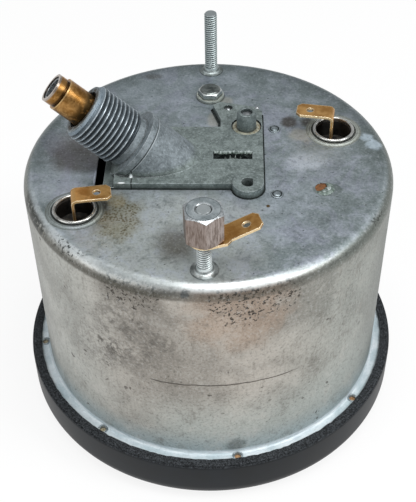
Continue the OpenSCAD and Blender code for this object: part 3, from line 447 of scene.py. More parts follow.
def wall_tone(p, mottle):
    """Colour of the wall: warm grey in the middle, cooler to the sides, painted light low down, with smoke,
    pits and painted shade above a flange hole.
    """
    x, _, rise = over_back(p)
    z = part_of(p, 2)
    cloud = noise(p, 24, 4, 0.6, 0.6)
    tone = two_tone(cloud, (156, 151, 143), (192, 186, 177))
    tone = mix(x.step(12, 46), tone, two_tone(cloud, (146, 149, 143), (174, 177, 171)))
    tone = mix(x.step(-16, -44) * 0.8, tone, two_tone(cloud, (156, 158, 153), (180, 183, 178)))
    streak = noise(stretched(p, 1.0, 1.0, 0.14), 1.5, 4, 0.75)
    tone = tint(tone, streak.step(0.5, 0.7) * 0.4, 128, 123, 114)
    blush = spot(p, (10, -56, 80), 19, 8, 6)
    tone = tint(tone, blush * 0.5, 178, 152, 130)
    smoke = spot(p, (-22, -53, 67), 18, 7, 6) + spot(p, (-32, -47, 56), 12, 5)
    tone = tint(tone, smoke * noise(p, 3, 5, 0.75).step(0.38, 0.66) * 0.75, 92, 88, 82)
    # Painted light: the wall is painted paler low down and bluer next to the flange, as the lit lower wall
    # and fillet.
    low = z.step(50, 26) * (0.75 - x.step(-6, -26) * 0.6)
    tone = tint(tone, low, 184, 192, 188)
    tone = tint(tone, (z - FLANGE).step(12, 2) * 0.8, 166, 181, 184)
    tone = tint(tone, mottle.step(0.48, 0.3) * 0.5, 116, 112, 104)
    tone = tint(tone, mottle.step(0.5, 0.72) * 0.4, 206, 203, 196)
    # Painted shade: a dark patch on the wall above one flange hole.
    painted_shade_over_hole = spot(p, (9.2, -56.3, FLANGE + 3.5), 4.2, 2)
    tone = tint(tone, painted_shade_over_hole * 0.6, 104, 112, 110)
    soiled = rise.step(-14, -5) * rise.step(-2.6, -3.6) * x.step(-9, -15) * x.step(-33, -27)
    tone = tint(tone, soiled * mottle.step(0.25, 0.5) * 0.7, 98, 93, 84)
    pitted = spot(p, (-21, -52, 87.2), 12, 6, 4) + spot(p, (10, -55.5, 85), 13, 7, 4)
    pitted = pitted + spot(p, (21, -52.5, 84), 8, 4)
    pits = noise(p, 0.95, 2, 0.6).step(0.56, 0.6) * pitted.step(0.12, 0.6)
    tone = tint(tone, pits * 0.9, 52, 46, 40)
    lone = noise(p, 2.4, 1, 0.5).step(0.72, 0.75) * noise(p, 30).step(0.42, 0.58)
    return tint(tone, lone * 0.75, 64, 57, 50)


def on_shoulder(rise):
    """1 on the upper half of the bend between back and wall."""
    return rise.step(-2.1, -1.0) * rise.step(-0.02, -0.25)


def on_bend(rise):
    """1 on the whole bend between back and wall."""
    return rise.step(-3.4, -2.4) * rise.step(-0.02, -0.3)


def bend_tone(p, colour, mottle, back, edge):
    """The bend: rubbed bright in front with a painted highlight, and painted shade: grey on the front left,
    dark under it, at the sides and at the rear, and the back darker to the rear.
    """
    x, y, rise = over_back(p)
    # Partly wear and partly painted highlight: the front shoulder is painted bright, strongest where glare is
    # set.
    rubbed = on_shoulder(rise) * mottle.step(0.22, 0.42) * x.step(36, 10) * x.step(-56, -46)
    glare = x.step(-14, 2) + x.step(-24, -31) * x.step(-47, -40) * 0.4
    colour = tint(colour, rubbed * (glare * 0.42 + 0.36), 226, 231, 231)
    # Painted shade: the bend is painted grey on the front left.
    painted_grey_shade = on_bend(rise) * x.step(-1, -10) * x.step(-34, -27) * y.step(0, -20)
    colour = tint(colour, painted_grey_shade * 0.55, 108, 116, 117)
    # Painted shade: the lower bend darkens down to where it meets the wall.
    below = rise.step(-4.9, -3.6) * rise.step(-1.2, -3.0) * y.step(4, -20)
    depth = x.step(-4, -14) * 0.25 + 0.6 - x.step(22, 36) * 0.35
    colour = tint(colour, below * depth * mottle.step(0.2, 0.44), 86, 84, 76)
    # Painted shade: the bend is darker towards the right.
    colour = tint(colour, edge * x.step(16, 42) * 0.6, 104, 112, 106)
    # Painted shade: the wall and bend are darker where they turn away at both sides, most on the right.
    sides = abs(x).step(48, 57) * 0.6 + x.step(38, 50) * 0.16
    colour = tint(colour, sides * (1 - back), 92, 98, 93)
    # Painted shade: the rim is darker towards the rear.
    painted_shade_rear_rim = from_axis(p, 0.0, 0.0).step(46, 55) * y.step(-22, 12)
    colour = tint(colour, painted_shade_rear_rim * 0.6, 84, 94, 92)
    # Painted shade: the back is darker towards the rear.
    return tint(colour, back * y.step(8, 40) * 0.3, 104, 116, 120)


def bend_damage(p, colour):
    """Chips on both sides of the bend, a scar on its left, a painted highlight along the edge by the casting
    and a flake.
    """
    rise = over_back(p)[2]
    worn = spot(p, (-38.8, -39.2, BACK - 1), 8, 2) + spot(p, (50, -25, BACK - 1), 5, 1.5) * 0.8
    chips = noise(p, 1.0, 3, 0.6).step(0.54, 0.59) * worn * on_bend(rise)
    scar = spot(p, (-51, -24, BACK - 1.6), 12, 3) * rise.step(-4.2, -3.2) * rise.step(-0.4, -1.3)
    scar = scar * noise(p, 2.0, 3, 0.6).step(0.38, 0.48)
    colour = tint(colour, chips.math("MAXIMUM", chips, scar) * 0.85, 44, 47, 44)
    # Painted highlight: a thin bright line along the cut edge next to the casting.
    lip = spot(p, (-34.1, -8.5, BACK), 4.4, shape=(0.12, 1.0, 1.0))
    colour = tint(colour, lip * 0.8, 222, 232, 246)
    flake = spot(p, (-5.2, -56.2, BACK - 2), 1.8, 1, 1)
    return tint(colour, flake * 0.75, 92, 98, 100)


def socket_collars(p, colour, back):
    """Pressed collars round the two lamp sockets, with painted shade in their grooves, and a mask of where
    they are dull.
    """
    dull = 0.0
    for middle, collar_tone in zip(SOCKET_SPOTS, COLLAR_TONES):
        away = from_axis(p, *middle)
        collar = away.step(9.0, 8.5) * away.step(6.4, 6.8) * back
        colour = tint(colour, collar * 0.6, *collar_tone)
        # Painted shade in the two grooves round each collar.
        grooves = ring(away, 8.5, 0.6) + ring(away, 7.6, 0.5)
        colour = tint(colour, grooves * back * 0.45, 66, 70, 66)
        dull = collar + dull
    return colour, dull


def plated_sheet(w):
    """Dull zinc plate: mottled back, warmer and creased wall, worn bend and bright flange, with painted light
    and shade on the back, wall and bend.
    """
    p = place(w)
    x, y, rise = over_back(p)
    lift = part_of(p, 2) - FLANGE
    back = rise.step(-1.6, -0.2)
    edge = rise.step(-4.4, -2.4) * (1 - back * 0.7)
    flange = lift.step(1.7, 0.8)
    mottle = noise(p, 6, 6, 0.72, 0.4)
    grain = noise(p, 0.8, 3, 0.75)
    colour = mix(back, wall_tone(p, mottle), back_tone(p, mottle))
    colour = bend_tone(p, colour, mottle, back, edge)
    splash = spot(p, (49.8, 12.0, BACK), 2.7, 1.2, 2) + spot(p, (51.7, 8.2, BACK), 3.3, 1.2, 2)
    colour = tint(colour, splash * 0.85, 206, 222, 232)
    colour, dull = socket_collars(p, colour, back)
    colour = bend_damage(p, colour)
    spun = noise(stretched(p, 0.3, 0.3, 6.0), 2.4)
    colour = mix(flange, colour, two_tone(spun, (188, 203, 209), (224, 232, 236)))
    colour = tint(colour, grain.step(0.5, 0.3) * (0.44 - flange * 0.28 - back * 0.16), 66, 69, 67)
    colour = tint(colour, grain.step(0.52, 0.72) * 0.26, 222, 227, 228)
    wobble = (noise(p, 5, 2) - 0.5) * 1.2
    crease = abs(part_of(p, 2) - CREASE_Z + wobble).step(0.34, 0.1) * y.step(-20, -40)
    crease = crease * x.step(-17.5, -15) * x.step(30, 22)
    # Painted shade: the crease line is painted dark, besides its dent in the bump.
    colour = tint(colour, crease * 0.85, 76, 70, 62)
    # Dirt and painted shade in each nook and where pieces meet.
    colour = tint(colour, corners(w, 1.3) * 0.75, 46, 47, 42)
    low = lift.step(14, 2)
    roughness = varied(varied(0.47, mottle, 0.3), grain, 0.2) - edge * 0.1 + low * 0.12 + dull * 0.18
    normal = bump(grain * 0.45 + mottle * 0.55 - crease * 2.0, 0.09, rounded(w, 0.12))
    return paint_of(colour, roughness, normal, Metallic=0.86 - low * 0.46 - on_shoulder(rise) * 0.2)


# Finishes of the casting, spigot and bush

HOOD_LINE = 29.9
SEAM_X = -22.7


def cast_zinc(w):
    """Die-cast zinc: granular, greenish on the plate, bluish on the hood, with a dark seam, pale edges,
    painted shade on the plate's sides and in each nook, and painted glints.
    """
    p = place(w)
    x, y, rise = over_back(p)
    radius, height = along_spigot(p)
    mottle = noise(p, 3.2, 6, 0.72, 0.4)
    grain = noise(p, 0.75, 3, 0.75)
    cloud = mottle.step(0.34, 0.66)
    hood = rise.step(2.6, 4.5) * x.step(6, 2)
    colour = mix(cloud, rgb(98, 108, 106), rgb(136, 147, 145))
    colour = mix(hood * 0.85, colour, mix(cloud, rgb(110, 119, 124), rgb(143, 152, 158)))
    colour = tint(colour, grain.step(0.52, 0.72) * 0.5, 180, 189, 194)
    colour = tint(colour, grain.step(0.49, 0.3) * 0.5, 56, 64, 63)
    # Dirt and painted shade in each nook and along the plate's foot.
    colour = tint(colour, corners(w, 1.1) * 0.8, 34, 38, 36)
    boss = rise.step(2.2, 3) * x.step(5, 8)
    colour = tint(colour, boss * 0.3, 84, 95, 98)
    # Painted shade: the plate's sides are darker than its top.
    painted_shade_plate_side = rise.step(1.7, 0.8)
    colour = tint(colour, painted_shade_plate_side * 0.5, 78, 87, 85)
    seam = abs(x - SEAM_X).step(0.26, 0.1) * y.step(-4, -7) * rise.step(4.9, 4.4)
    on_hood = radius.step(10.4, 10.7) * x.step(SEAM_X - 0.3, SEAM_X + 0.1)
    lit_side = ring(height, HOOD_LINE - 0.4, 0.45) * on_hood
    colour = tint(colour, lit_side * 0.55, 196, 204, 208)
    lines = seam + abs(height - HOOD_LINE).step(0.26, 0.1) * on_hood
    lines = lines.math("MINIMUM", lines, 1.0)
    colour = tint(colour, lines * 0.85, 40, 44, 44)
    mouth = radius.step(7.7, 6.9) * height.step(40, 44)
    colour = tint(colour, mouth * noise(p, 1.6).step(0.3, 0.55) * 0.85, 54, 44, 24)
    edges = worn_edges(w, 0.3)
    colour = tint(colour, edges * mottle.step(0.35, 0.6) * 0.75, 186, 195, 198)
    glints = spot(p, (-22.9, -10.8, BACK + 2), 0.7, shape=(1.0, 1.0, 2.0))
    glints = glints + spot(p, (-25.6, -13.6, BACK + 2), 1.0, shape=(1.4, 0.5, 0.4))
    colour = tint(colour, glints, 240, 245, 246)
    relief = grain * 0.6 + mottle * 0.4 - lines * 1.5
    return paint_of(colour, varied(0.64, mottle, 0.25) - edges * 0.12, bump(relief, 0.1, rounded(w, 0.3)))


def cut_thread(w):
    """The spigot's thread: blue-grey with painted shade in its roots, crests rubbed bright with a painted
    highlight, and a clean chamfer.
    """
    p = place(w)
    radius, height = along_spigot(p)
    mottle = noise(p, 2.2, 4, 0.7)
    crest = radius.step(8.82, 8.98)
    colour = two_tone(mottle, (92, 102, 108), (118, 129, 136))
    # Painted shade in the thread's roots.
    colour = tint(colour, radius.step(8.72, 8.35) * 0.75, 40, 46, 51)
    # Crests partly rubbed bright and partly a painted highlight.
    colour = tint(colour, crest * mottle.step(0.26, 0.52) * 0.9, 190, 200, 206)
    chamfer = height.step(48.3, 48.9)
    colour = mix(chamfer * 0.9, colour, two_tone(mottle, (122, 136, 146), (146, 159, 168)))
    chips = noise(p, 1.1, 2).step(0.68, 0.74)
    colour = tint(colour, chips * 0.6, 44, 48, 52)
    return paint_of(colour, varied(0.56, mottle, 0.2) - crest * 0.1, bump(mottle, 0.05))


def brass_bush(w):
    """Golden brown brass with darker stains, a steel-grey mouth, oily dirt where it leaves the spigot,
    painted shade in its groove and bore, and a painted highlight on its step.
    """
    p = place(w)
    radius, height = along_spigot(p)
    mottle = noise(p, 3, 5, 0.7, 0.6)
    colour = two_tone(mottle, (130, 91, 42), (188, 143, 86))
    colour = tint(colour, mottle.step(0.58, 0.75) * 0.6, 212, 176, 116)
    pores = noise(p, 0.9).step(0.62, 0.7)
    colour = tint(colour, pores * 0.5, 92, 60, 20)
    foot = height.step(54.4, 50.8)
    colour = tint(colour, foot * noise(p, 1.5).step(0.26, 0.52) * 0.95, 44, 34, 16)
    # Painted shade in the groove at the neck.
    groove = radius.step(4.7, 4.4) * height.step(57.6, 58.0) * height.step(59.4, 59.1)
    colour = tint(colour, groove * 0.85, 52, 35, 14)
    # Painted highlight along the edge of the step.
    rim = ring(height, 58.05, 0.6) * radius.step(4.9, 5.1)
    colour = tint(colour, rim * 0.4, 240, 212, 160)
    mouth = height.step(60.7, 61.2)
    colour = tint(colour, mouth * 0.9, 168, 160, 152)
    # Painted shade down the bore.
    bore = radius.step(3.9, 3.7) * height.step(56, 57)
    colour = tint(colour, bore * 0.9, 30, 28, 24)
    return paint_of(colour, varied(0.36, mottle, 0.25) + foot * 0.2 - mouth * 0.1, bump(mottle, 0.02))


# Finishes of the nut, studs, screws and other small metal pieces

def brass_blade(w):
    """Golden brown sheet brass with darker stains, edges pale partly from wear and partly as painted
    highlight, front cut faces painted light where lit, browner by the front stud.
    """
    p = place(w)
    mottle = noise(p, 4, 4, 0.65, 0.3)
    fine = noise(p, 0.6, 3, 0.7)
    colour = two_tone(mottle, (176, 128, 68), (216, 170, 106))
    colour = tint(colour, fine.step(0.58, 0.78) * 0.35, 132, 88, 38)
    by_stud = from_axis(p, *STUD_SPOTS[0]).step(30, 24)
    colour = tint(colour, by_stud * 0.4, 128, 84, 30)
    # Painted light: the cut faces that look to the front are pale only above the leg, where they are lit.
    cut = facing(w, 1).step(-0.55, -0.8) * over_back(p)[2].step(5, 7)
    # Pale edges: partly wear and partly painted highlight.
    edges = worn_edges(w, 0.55)
    colour = tint(colour, edges * 0.85, 255, 238, 204)
    colour = tint(colour, cut * 0.6, 255, 234, 190)
    pale = cut.math("MAXIMUM", cut, edges * 0.5)
    normal = bump(fine, 0.02, rounded(w, 0.3))
    return paint_of(colour, varied(0.38, mottle, 0.2) - edges * 0.1, normal, Metallic=0.9 - pale * 0.35)


def turned_nut(w):
    """A steel nut: grey turned top, bright chamfers, pinkish brown flats with scratches up and down, left
    flats in painted shade, painted shade in the bore and a painted highlight ring round it.
    """
    p = place(w)
    upward = facing(w, 2)
    top = upward.step(0.9, 0.97)
    chamfer = upward.step(0.25, 0.4) * (1 - top)
    scratch = noise(stretched(p, 1.0, 1.0, 0.14), 0.6, 4, 0.75)
    colour = mix(scratch.step(0.34, 0.64), rgb(112, 98, 89), rgb(180, 168, 162))
    # Painted shade: flats that face left are darker and warmer.
    colour = tint(colour, facing(w, 0).step(0.1, -0.4) * 0.4, 112, 96, 86)
    face = two_tone(noise(p, 3, 5, 0.7), (150, 160, 163), (186, 195, 198))
    face = tint(face, noise(p, 0.7, 3, 0.75).step(0.48, 0.3) * 0.5, 78, 85, 88)
    colour = mix(top, colour, face)
    colour = mix(chamfer, colour, two_tone(scratch, (150, 156, 158), (206, 211, 214)))
    away = from_axis(p, *STUD_SPOTS[0])
    # Painted shade down the bore round the stud, and a painted highlight ring round it on the top.
    colour = tint(colour, away.step(2.32, 2.16) * 0.8, 52, 57, 59)
    colour = tint(colour, ring(away, 2.6, 0.4) * top * 0.4, 222, 228, 230)
    colour = tint(colour, ring(away, 4.62, 0.36) * top * 0.6, 84, 91, 94)
    colour = tint(colour, worn_edges(w, 0.25) * (1 - top) * 0.45, 74, 66, 62)
    return paint_of(colour, varied(0.44, scratch, 0.3) - chamfer * 0.08, bump(scratch, 0.03))


def stud_thread(w):
    """Bright threaded steel, duller on the rear stud, with painted shade in its roots, on the collars' flanks
    and where rod meets collar, and dirt round the collars.
    """
    p = place(w)
    x, y, rise = over_back(p)
    tip = part_of(p, 2) - STUD_TOP / MM
    middle = (STUD_SPOTS[0][1] + STUD_SPOTS[1][1]) / 2
    off = abs(y - middle) - (STUD_SPOTS[1][1] - middle)
    radius = (x * x + off * off).root()
    mottle = noise(p, 2, 4, 0.7)
    colour = two_tone(mottle, (214, 224, 224), (240, 246, 246))
    colour = tint(colour, y.step(0, 20) * 0.6, 142, 158, 158)
    # Painted shade in the thread's roots.
    root = radius.step(2.03, 1.82) * tip.step(-0.1, -0.3)
    colour = tint(colour, root * 0.85, 64, 72, 74)
    colour = tint(colour, tip.step(-0.35, -0.15) * 0.8, 132, 138, 140)
    dirt = rise.step(0.8, 0.1) * noise(p, 2.5).step(0.4, 0.6)
    colour = tint(colour, dirt * 0.7, 52, 50, 42)
    # Painted shade on the left and right flanks of each collar.
    painted_shade_flanks = abs(x).step(1.9, 3.1) * rise.step(2.0, 1.4)
    colour = tint(colour, painted_shade_flanks * 0.7, 72, 78, 76)
    # Painted shade in a ring where the rod meets the collar.
    foot = ring(radius, 2.5, 0.7) * rise.step(2.0, 1.7)
    colour = tint(colour, foot * 0.7, 62, 68, 68)
    return paint_of(colour, varied(0.44, mottle, 0.2) + root * 0.15, bump(mottle, 0.02))


def socket_nickel(w):
    """Bright nickel on a socket's rolled rim, and painted shade down its bore."""
    p = place(w)
    mottle = noise(p, 2.5, 4, 0.7)
    colour = two_tone(mottle, (168, 168, 164), (214, 214, 210))
    colour = tint(colour, mottle.step(0.42, 0.28) * 0.6, 84, 80, 72)
    # Painted shade: the socket is near black below the back, down its bore.
    painted_shade_in_bore = over_back(p)[2].step(0.35, -0.6)
    colour = tint(colour, painted_shade_in_bore * 0.92, 26, 25, 23)
    return paint_of(colour, varied(0.24, mottle, 0.15) + painted_shade_in_bore * 0.4, bump(mottle, 0.02))


def domed_zinc(w):
    """Rivets and hole rims: pale zinc with painted shade in the ring groove, and dirt and painted shade round
    the foot.
    """
    p = place(w)
    mottle = noise(p, 1.6, 4, 0.7)
    colour = two_tone(mottle, (118, 128, 132), (164, 174, 179))
    for middle in RIVET_SPOTS:
        # Painted shade in each rivet's ring groove.
        colour = tint(colour, ring(from_axis(p, *middle), 1.32, 0.55) * 0.85, 44, 50, 50)
    # Dirt and painted shade round the foot.
    colour = tint(colour, corners(w, 0.7) * 0.7, 48, 52, 48)
    return paint_of(colour, varied(0.42, mottle, 0.2), bump(mottle, 0.02))


def torn_edge(w):
    """Torn and ragged edges of holes: grey-green with a painted lit upper side and a painted highlight on the
    lip's crest.
    """
    p = place(w)
    rise = over_back(p)[2]
    mottle = noise(p, 0.9, 4, 0.7)
    high = rise.step(0.6, 0.9)
    colour = two_tone(mottle, (78, 91, 85), (118, 132, 125))
    lit = facing(w, 2).step(0.35, 0.8) * mottle.step(0.4, 0.65) * (high * 0.75 + 0.1)
    colour = tint(colour, lit, 206, 215, 216)
    # Painted highlight along the crest of the curled lip.
    crest = ring(rise, 0.5, 0.16) * (1 - high)
    colour = tint(colour, crest * 0.7, 196, 206, 206)
    return paint_of(colour, varied(0.5, mottle, 0.2), bump(mottle, 0.04))


def screw_steel(w):
    """A screw head: dark top, bright bevel with a painted highlight ring, pale flats, and dirt and painted
    shade round its foot.
    """
    p = place(w)
    x, y, _ = over_back(p)
    off = abs(y) - SCREW_OUT
    away = (x * x + off * off).root()
    upward = facing(w, 2)
    top = upward.step(0.3, 0.5)
    mottle = noise(p, 2, 4, 0.7)
    colour = two_tone(mottle, (140, 148, 148), (192, 199, 199))
    bevel = top * upward.step(0.97, 0.9)
    colour = mix(bevel, colour, two_tone(mottle, (150, 157, 156), (214, 220, 219)))
    # The top is painted dark inside the ring.
    worn = top * away.step(3.45, 3.3)
    colour = mix(worn, colour, two_tone(mottle, (88, 93, 91), (136, 142, 140)))
    # Painted highlight: a bright ring round the top.
    colour = tint(colour, ring(away, 3.5, 0.3) * top * 0.7, 226, 230, 229)
    # Dirt and painted shade round the head's foot.
    colour = tint(colour, corners(w, 0.8) * 0.8, 40, 40, 34)
    return paint_of(colour, varied(0.38, mottle, 0.25), bump(mottle, 0.02))


def pale_washer(w):
    """A plated washer: pale grey with a greenish cast, and dirt and painted shade in each nook."""
    p = place(w)
    mottle = noise(p, 2.2, 4, 0.7)
    colour = two_tone(mottle, (148, 156, 150), (196, 201, 193))
    # Dirt and painted shade in each nook.
    colour = tint(colour, corners(w, 0.7) * 0.7, 60, 58, 48)
    return paint_of(colour, varied(0.5, mottle, 0.2), bump(mottle, 0.02))


def plain_metal(pale, dark, roughness, grain=2.5, wear=0.2):
    """A paint function for plain metal: two tones of one colour, rubbed edges and a fine grain."""
    def paint(w):
        p = place(w)
        mottle = noise(p, grain, 4, 0.65, 0.3)
        fine = noise(p, grain / 7, 3, 0.7)
        colour = two_tone(mottle, dark, pale)
        colour = tint(colour, fine.step(0.62, 0.8) * 0.35, *dark)
        edges = worn_edges(w, wear)
        colour = tint(colour, edges * 0.75, *pale)
        rough = varied(roughness, mottle, 0.2) - edges * (roughness * 0.25)
        return paint_of(colour, rough, bump(fine, 0.02, rounded(w, wear)))
    return paint


# Finishes of the bezel, seals, plastic, paint and glass

def oiled_washer(w):
    """A fibre washer round the boss: greyish cream with brown oil, and oily dirt and painted shade close to
    the boss.
    """
    p = place(w)
    mottle = noise(p, 3, 4, 0.65)
    colour = two_tone(mottle, (116, 120, 108), (158, 158, 142))
    colour = tint(colour, noise(p, 2.2).step(0.5, 0.62) * 0.7, 96, 80, 48)
    # Oily dirt and painted shade close to the boss and round the rim.
    colour = tint(colour, corners(w, 0.9) * 0.8, 46, 38, 22)
    return paint_of(colour, varied(0.55, mottle, 0.2), bump(mottle, 0.03))


def bezel_paint(w):
    """Slate-black paint, smooth on the wall, and rough and fibrous where the rear edge is rolled over."""
    p = place(w)
    rear = (part_of(p, 2) - FLANGE).step(-0.15, 0.35)
    fine = noise(p, 0.55, 4, 0.75, 0.8)
    cloud = noise(p, 14, 4)
    rolled = mix(fine.step(0.42, 0.62), rgb(20, 22, 24), rgb(70, 74, 78))
    rolled = tint(rolled, fine.step(0.68, 0.76) * 0.7, 150, 153, 156)
    colour = mix(rear, two_tone(cloud, (8, 14, 18), (15, 22, 28)), rolled)
    relief = fine * (rear * 0.96 + 0.04)
    return paint_of(colour, varied(0.44, cloud, 0.1) + rear * 0.3, bump(relief, 0.25))


def cork_sheet(w):
    """Pressed cork: orange-brown granules with dark joints, greyer on the left."""
    p = place(w)
    granules = cells(p, 0.8)
    colour = two_tone(noise(p, 1.2), (158, 118, 78), (200, 162, 122))
    colour = tint(colour, part_of(p, 0).step(-6, -26) * 0.85, 172, 168, 144)
    colour = tint(colour, granules.step(0.5, 0.75) * 0.6, 88, 52, 26)
    return paint_of(colour, 0.85 + granules * 0.05, bump(granules, 0.1))


def plain_coat(tone, pale, roughness, grain):
    """A paint function for rubber, plastic and paint: one tone with a slightly paler grain."""
    def paint(w):
        fine = noise(place(w), grain, 4, 0.7)
        colour = mix(fine.step(0.4, 0.75), rgb(*tone), rgb(*pale))
        return paint_of(colour, varied(roughness, fine, 0.15), bump(fine, 0.02))
    return paint


def clear_glass(w):
    """Glass with the faintest unevenness in its polish."""
    return {"Roughness": noise(place(w), 12) * 0.03}


# Materials by name, and the CAD nodes that wear them

METAL = {"Metallic": 0.9}
FINISHES = {name: material(name, paint, fixed) for name, paint, fixed in (
    ("plated_case", plated_sheet, {}),
    ("cast_zinc", cast_zinc, {"Metallic": 0.6}),
    ("cut_thread", cut_thread, {"Metallic": 0.65}),
    ("brass_bush", brass_bush, {"Metallic": 0.95}),
    ("brass_blade", brass_blade, {}),
    ("turned_nut", turned_nut, METAL),
    ("stud_steel", stud_thread, {"Metallic": 0.65}),
    ("socket_nickel", socket_nickel, METAL),
    ("rivet_zinc", domed_zinc, METAL),
    ("torn_edge", torn_edge, {"Metallic": 0.35}),
    ("screw_steel", screw_steel, METAL),
    ("pale_washer", pale_washer, {"Metallic": 0.6}),
    ("bright_steel", plain_metal((186, 190, 192), (140, 144, 146), 0.34), METAL),
    ("gear_brass", plain_metal((128, 102, 58), (88, 68, 36), 0.42), METAL),
    ("oily_gear", plain_metal((168, 178, 174), (98, 106, 104), 0.5), METAL),
    ("spun_aluminium", plain_metal((204, 206, 208), (176, 178, 180), 0.36), METAL),
    ("magnet_alloy", plain_metal((94, 96, 98), (66, 68, 70), 0.5), METAL),
    ("oiled_fibre", oiled_washer, {}),
    ("bezel_paint", bezel_paint, {"Specular IOR Level": 0.24}),
    ("pressed_cork", cork_sheet, {}),
    ("black_rubber", plain_coat((22, 22, 23), (38, 38, 39), 0.7, 0.6), {}),
    ("black_plastic", plain_coat((12, 12, 12), (34, 33, 31), 0.45, 0.9), {}),
    ("dusty_plastic", plain_coat((15, 14, 13), (72, 68, 60), 0.7, 1.4), {}),
    ("dial_black", plain_coat((19, 20, 21), (29, 30, 31), 0.55, 0.4), {}),
    ("number_wheel_black", plain_coat((17, 17, 18), (28, 28, 29), 0.45, 0.5), {}),
    ("number_wheel_white", plain_coat((214, 208, 194), (232, 228, 216), 0.45, 0.6), {}),
    ("dial_print", plain_coat((206, 203, 190), (224, 221, 210), 0.6, 0.5), {}),
    ("number_print", plain_coat((24, 24, 25), (36, 36, 37), 0.6, 0.5), {}),
    ("pointer_paint", plain_coat((186, 66, 24), (206, 84, 36), 0.45, 0.6), {}),
    ("brown_seal", plain_coat((88, 56, 26), (134, 84, 42), 0.7, 0.8), {}),
    ("gear_plastic", plain_coat((196, 184, 156), (214, 204, 178), 0.5, 0.8), {}),
    ("clear_glass", clear_glass, {"Transmission Weight": 1.0, "IOR": 1.5}),
)}


def dress(finish, *nodes):
    """Gives CAD nodes their finish."""
    for name in nodes:
        mesh = frame["nodes"][name].data
        mesh.materials.clear()
        mesh.materials.append(FINISHES[finish])


def settle(piece, finish, body, slot, *nodes):
    """Gives a new piece its finish, the body that it rides on and the nodes that it stands for."""
    piece.data.materials.append(FINISHES[finish])
    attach(piece, body)
    if nodes:
        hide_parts(*nodes)


dress("plated_case", "case")
dress("pressed_cork", "flange_gasket")
dress("black_rubber", "lens_gasket")
dress("clear_glass", "lens", "lamp_bulb_right", "lamp_bulb_left")
dress("black_plastic", "visor_ring")
dress("dusty_plastic", "lamp_insulator_right", "lamp_insulator_left")
dress("dial_black", "dial")
dress("screw_steel", "casting_screws", "dial_screws")
dress("pale_washer", "casting_washers")
dress("socket_nickel", "lamp_shell_right", "lamp_shell_left")
dress("oiled_fibre", "boss_washer")
dress("brown_seal", "access_plug")
dress("brass_bush", "drive_bush")
dress("bright_steel", "drive_shaft", "main_spindle", "pointer_spindle", "cross_shaft", "counter_shaft",
      "field_cup", "spring_post", "front_plate", "frame_pillars", "dial_posts", "counter_frame",
      "odometer_axle")
dress("gear_plastic", "drive_gear", "spindle_gear", "odometer_gear", "transfer_pinions")
dress("magnet_alloy", "magnet")
dress("spun_aluminium", "drag_cup")
dress("pointer_paint", "pointer")
dress("gear_brass", "hairspring", "pointer_bush", "counter_wheel")
dress("oily_gear", "worm_wheel")
dress("number_wheel_white", "odometer_wheel_1")
dress("number_wheel_black", *["odometer_wheel_%d" % wheel for wheel in range(2, 7)])
dress("brass_blade", "earth_blade", "lamp_blade_right", "lamp_blade_left")


# The casting, with its spigot turned down to carry a cut thread

THREAD_FROM = 34.5 * MM
THREAD_TO = 50.0 * MM
THREAD_R = 9.0 * MM
THREAD_PITCH = 1.5 * MM
THREAD_DEPTH = 0.85 * MM
THREAD_LEADS = (0.9 * MM, 1.2 * MM)
THREAD_STEPS = 144
CORE_R = THREAD_R - THREAD_DEPTH - 0.15 * MM
SLEEVE_LAP = 0.2 * MM


def turned_down(points):
    """Points of the spigot outside the thread's core are drawn in to it, square to the axis."""
    off = points - CROSSING
    height = off @ SPIGOT_OUT
    across = off - height[:, None] * SPIGOT_OUT
    radius = np.linalg.norm(across, axis=1)
    on_thread = (height > THREAD_FROM - 0.01 * MM) & (radius > CORE_R) & (radius < THREAD_R + 0.1 * MM)
    share = np.where(on_thread, CORE_R / np.maximum(radius, 1e-9), 1.0)
    return CROSSING + height[:, None] * SPIGOT_OUT + across * share[:, None]


def spigot_thread():
    """A threaded sleeve round the core, closed by flat rings at both ends."""
    rod = threaded(THREAD_R, THREAD_DEPTH, THREAD_PITCH, THREAD_FROM, THREAD_TO, THREAD_LEADS,
                   CROSSING, SPIGOT_OUT, THREAD_STEPS)[1:-1]
    angle = circle_angles(THREAD_STEPS)[None, :]
    low, high = (round_axis(CORE_R - SLEEVE_LAP, height, angle, CROSSING, SPIGOT_OUT)
                 for height in (THREAD_FROM, THREAD_TO))
    return surface("spigot_thread", np.concatenate([low, rod, high, low]))


casting = merged_copy("drive_casting", "drive_casting_cut", turned_down)
settle(casting, "cast_zinc", "housing", "zinc", "drive_casting")
settle(spigot_thread(), "cut_thread", "housing", "zinc")


# Studs

STUD_R = 2.1 * MM
STUD_PITCH = 0.8 * MM
STUD_DEPTH = 0.34 * MM
STUD_LEADS = (0.4 * MM, 0.2 * MM)
STUD_HEAD_R = 2.8 * MM
STUD_HEAD_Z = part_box("mounting_studs")[0].z
COLLAR_R = 3.9 * MM
COLLAR_H = 1.8 * MM
COLLAR_LIP = 0.25 * MM
SHEET_T = 0.9 * MM


def stud(x, y):
    """A threaded rod, a collar whose side is a hollow quarter circle, and a flat head inside the case."""
    at = (x * MM, y * MM, 0.0)
    inside = BACK_Z - SHEET_T
    rod = threaded(STUD_R, STUD_DEPTH, STUD_PITCH, inside, STUD_TOP, STUD_LEADS, at, steps=64)
    collar_top = BACK_Z + COLLAR_H
    hollow = [(COLLAR_R + r * (COLLAR_R - STUD_R), collar_top + h * (COLLAR_H - COLLAR_LIP))
              for r, h in arc((0.0, 0.0), 1.0, 180, 270)]
    collar = [(0.0, collar_top)] + hollow + [(COLLAR_R, BACK_Z), (0.0, BACK_Z)]
    head = [(0.0, inside), (STUD_HEAD_R, inside), (STUD_HEAD_R, STUD_HEAD_Z), (0.0, STUD_HEAD_Z)]
    return [rod, turned(collar, 64, at), turned(head, 48, at)]


studs = surface("threaded_studs", *[shape for middle in STUD_SPOTS for shape in stud(*middle)])
settle(studs, "stud_steel", "housing", "steel", "mounting_studs")


# Nut

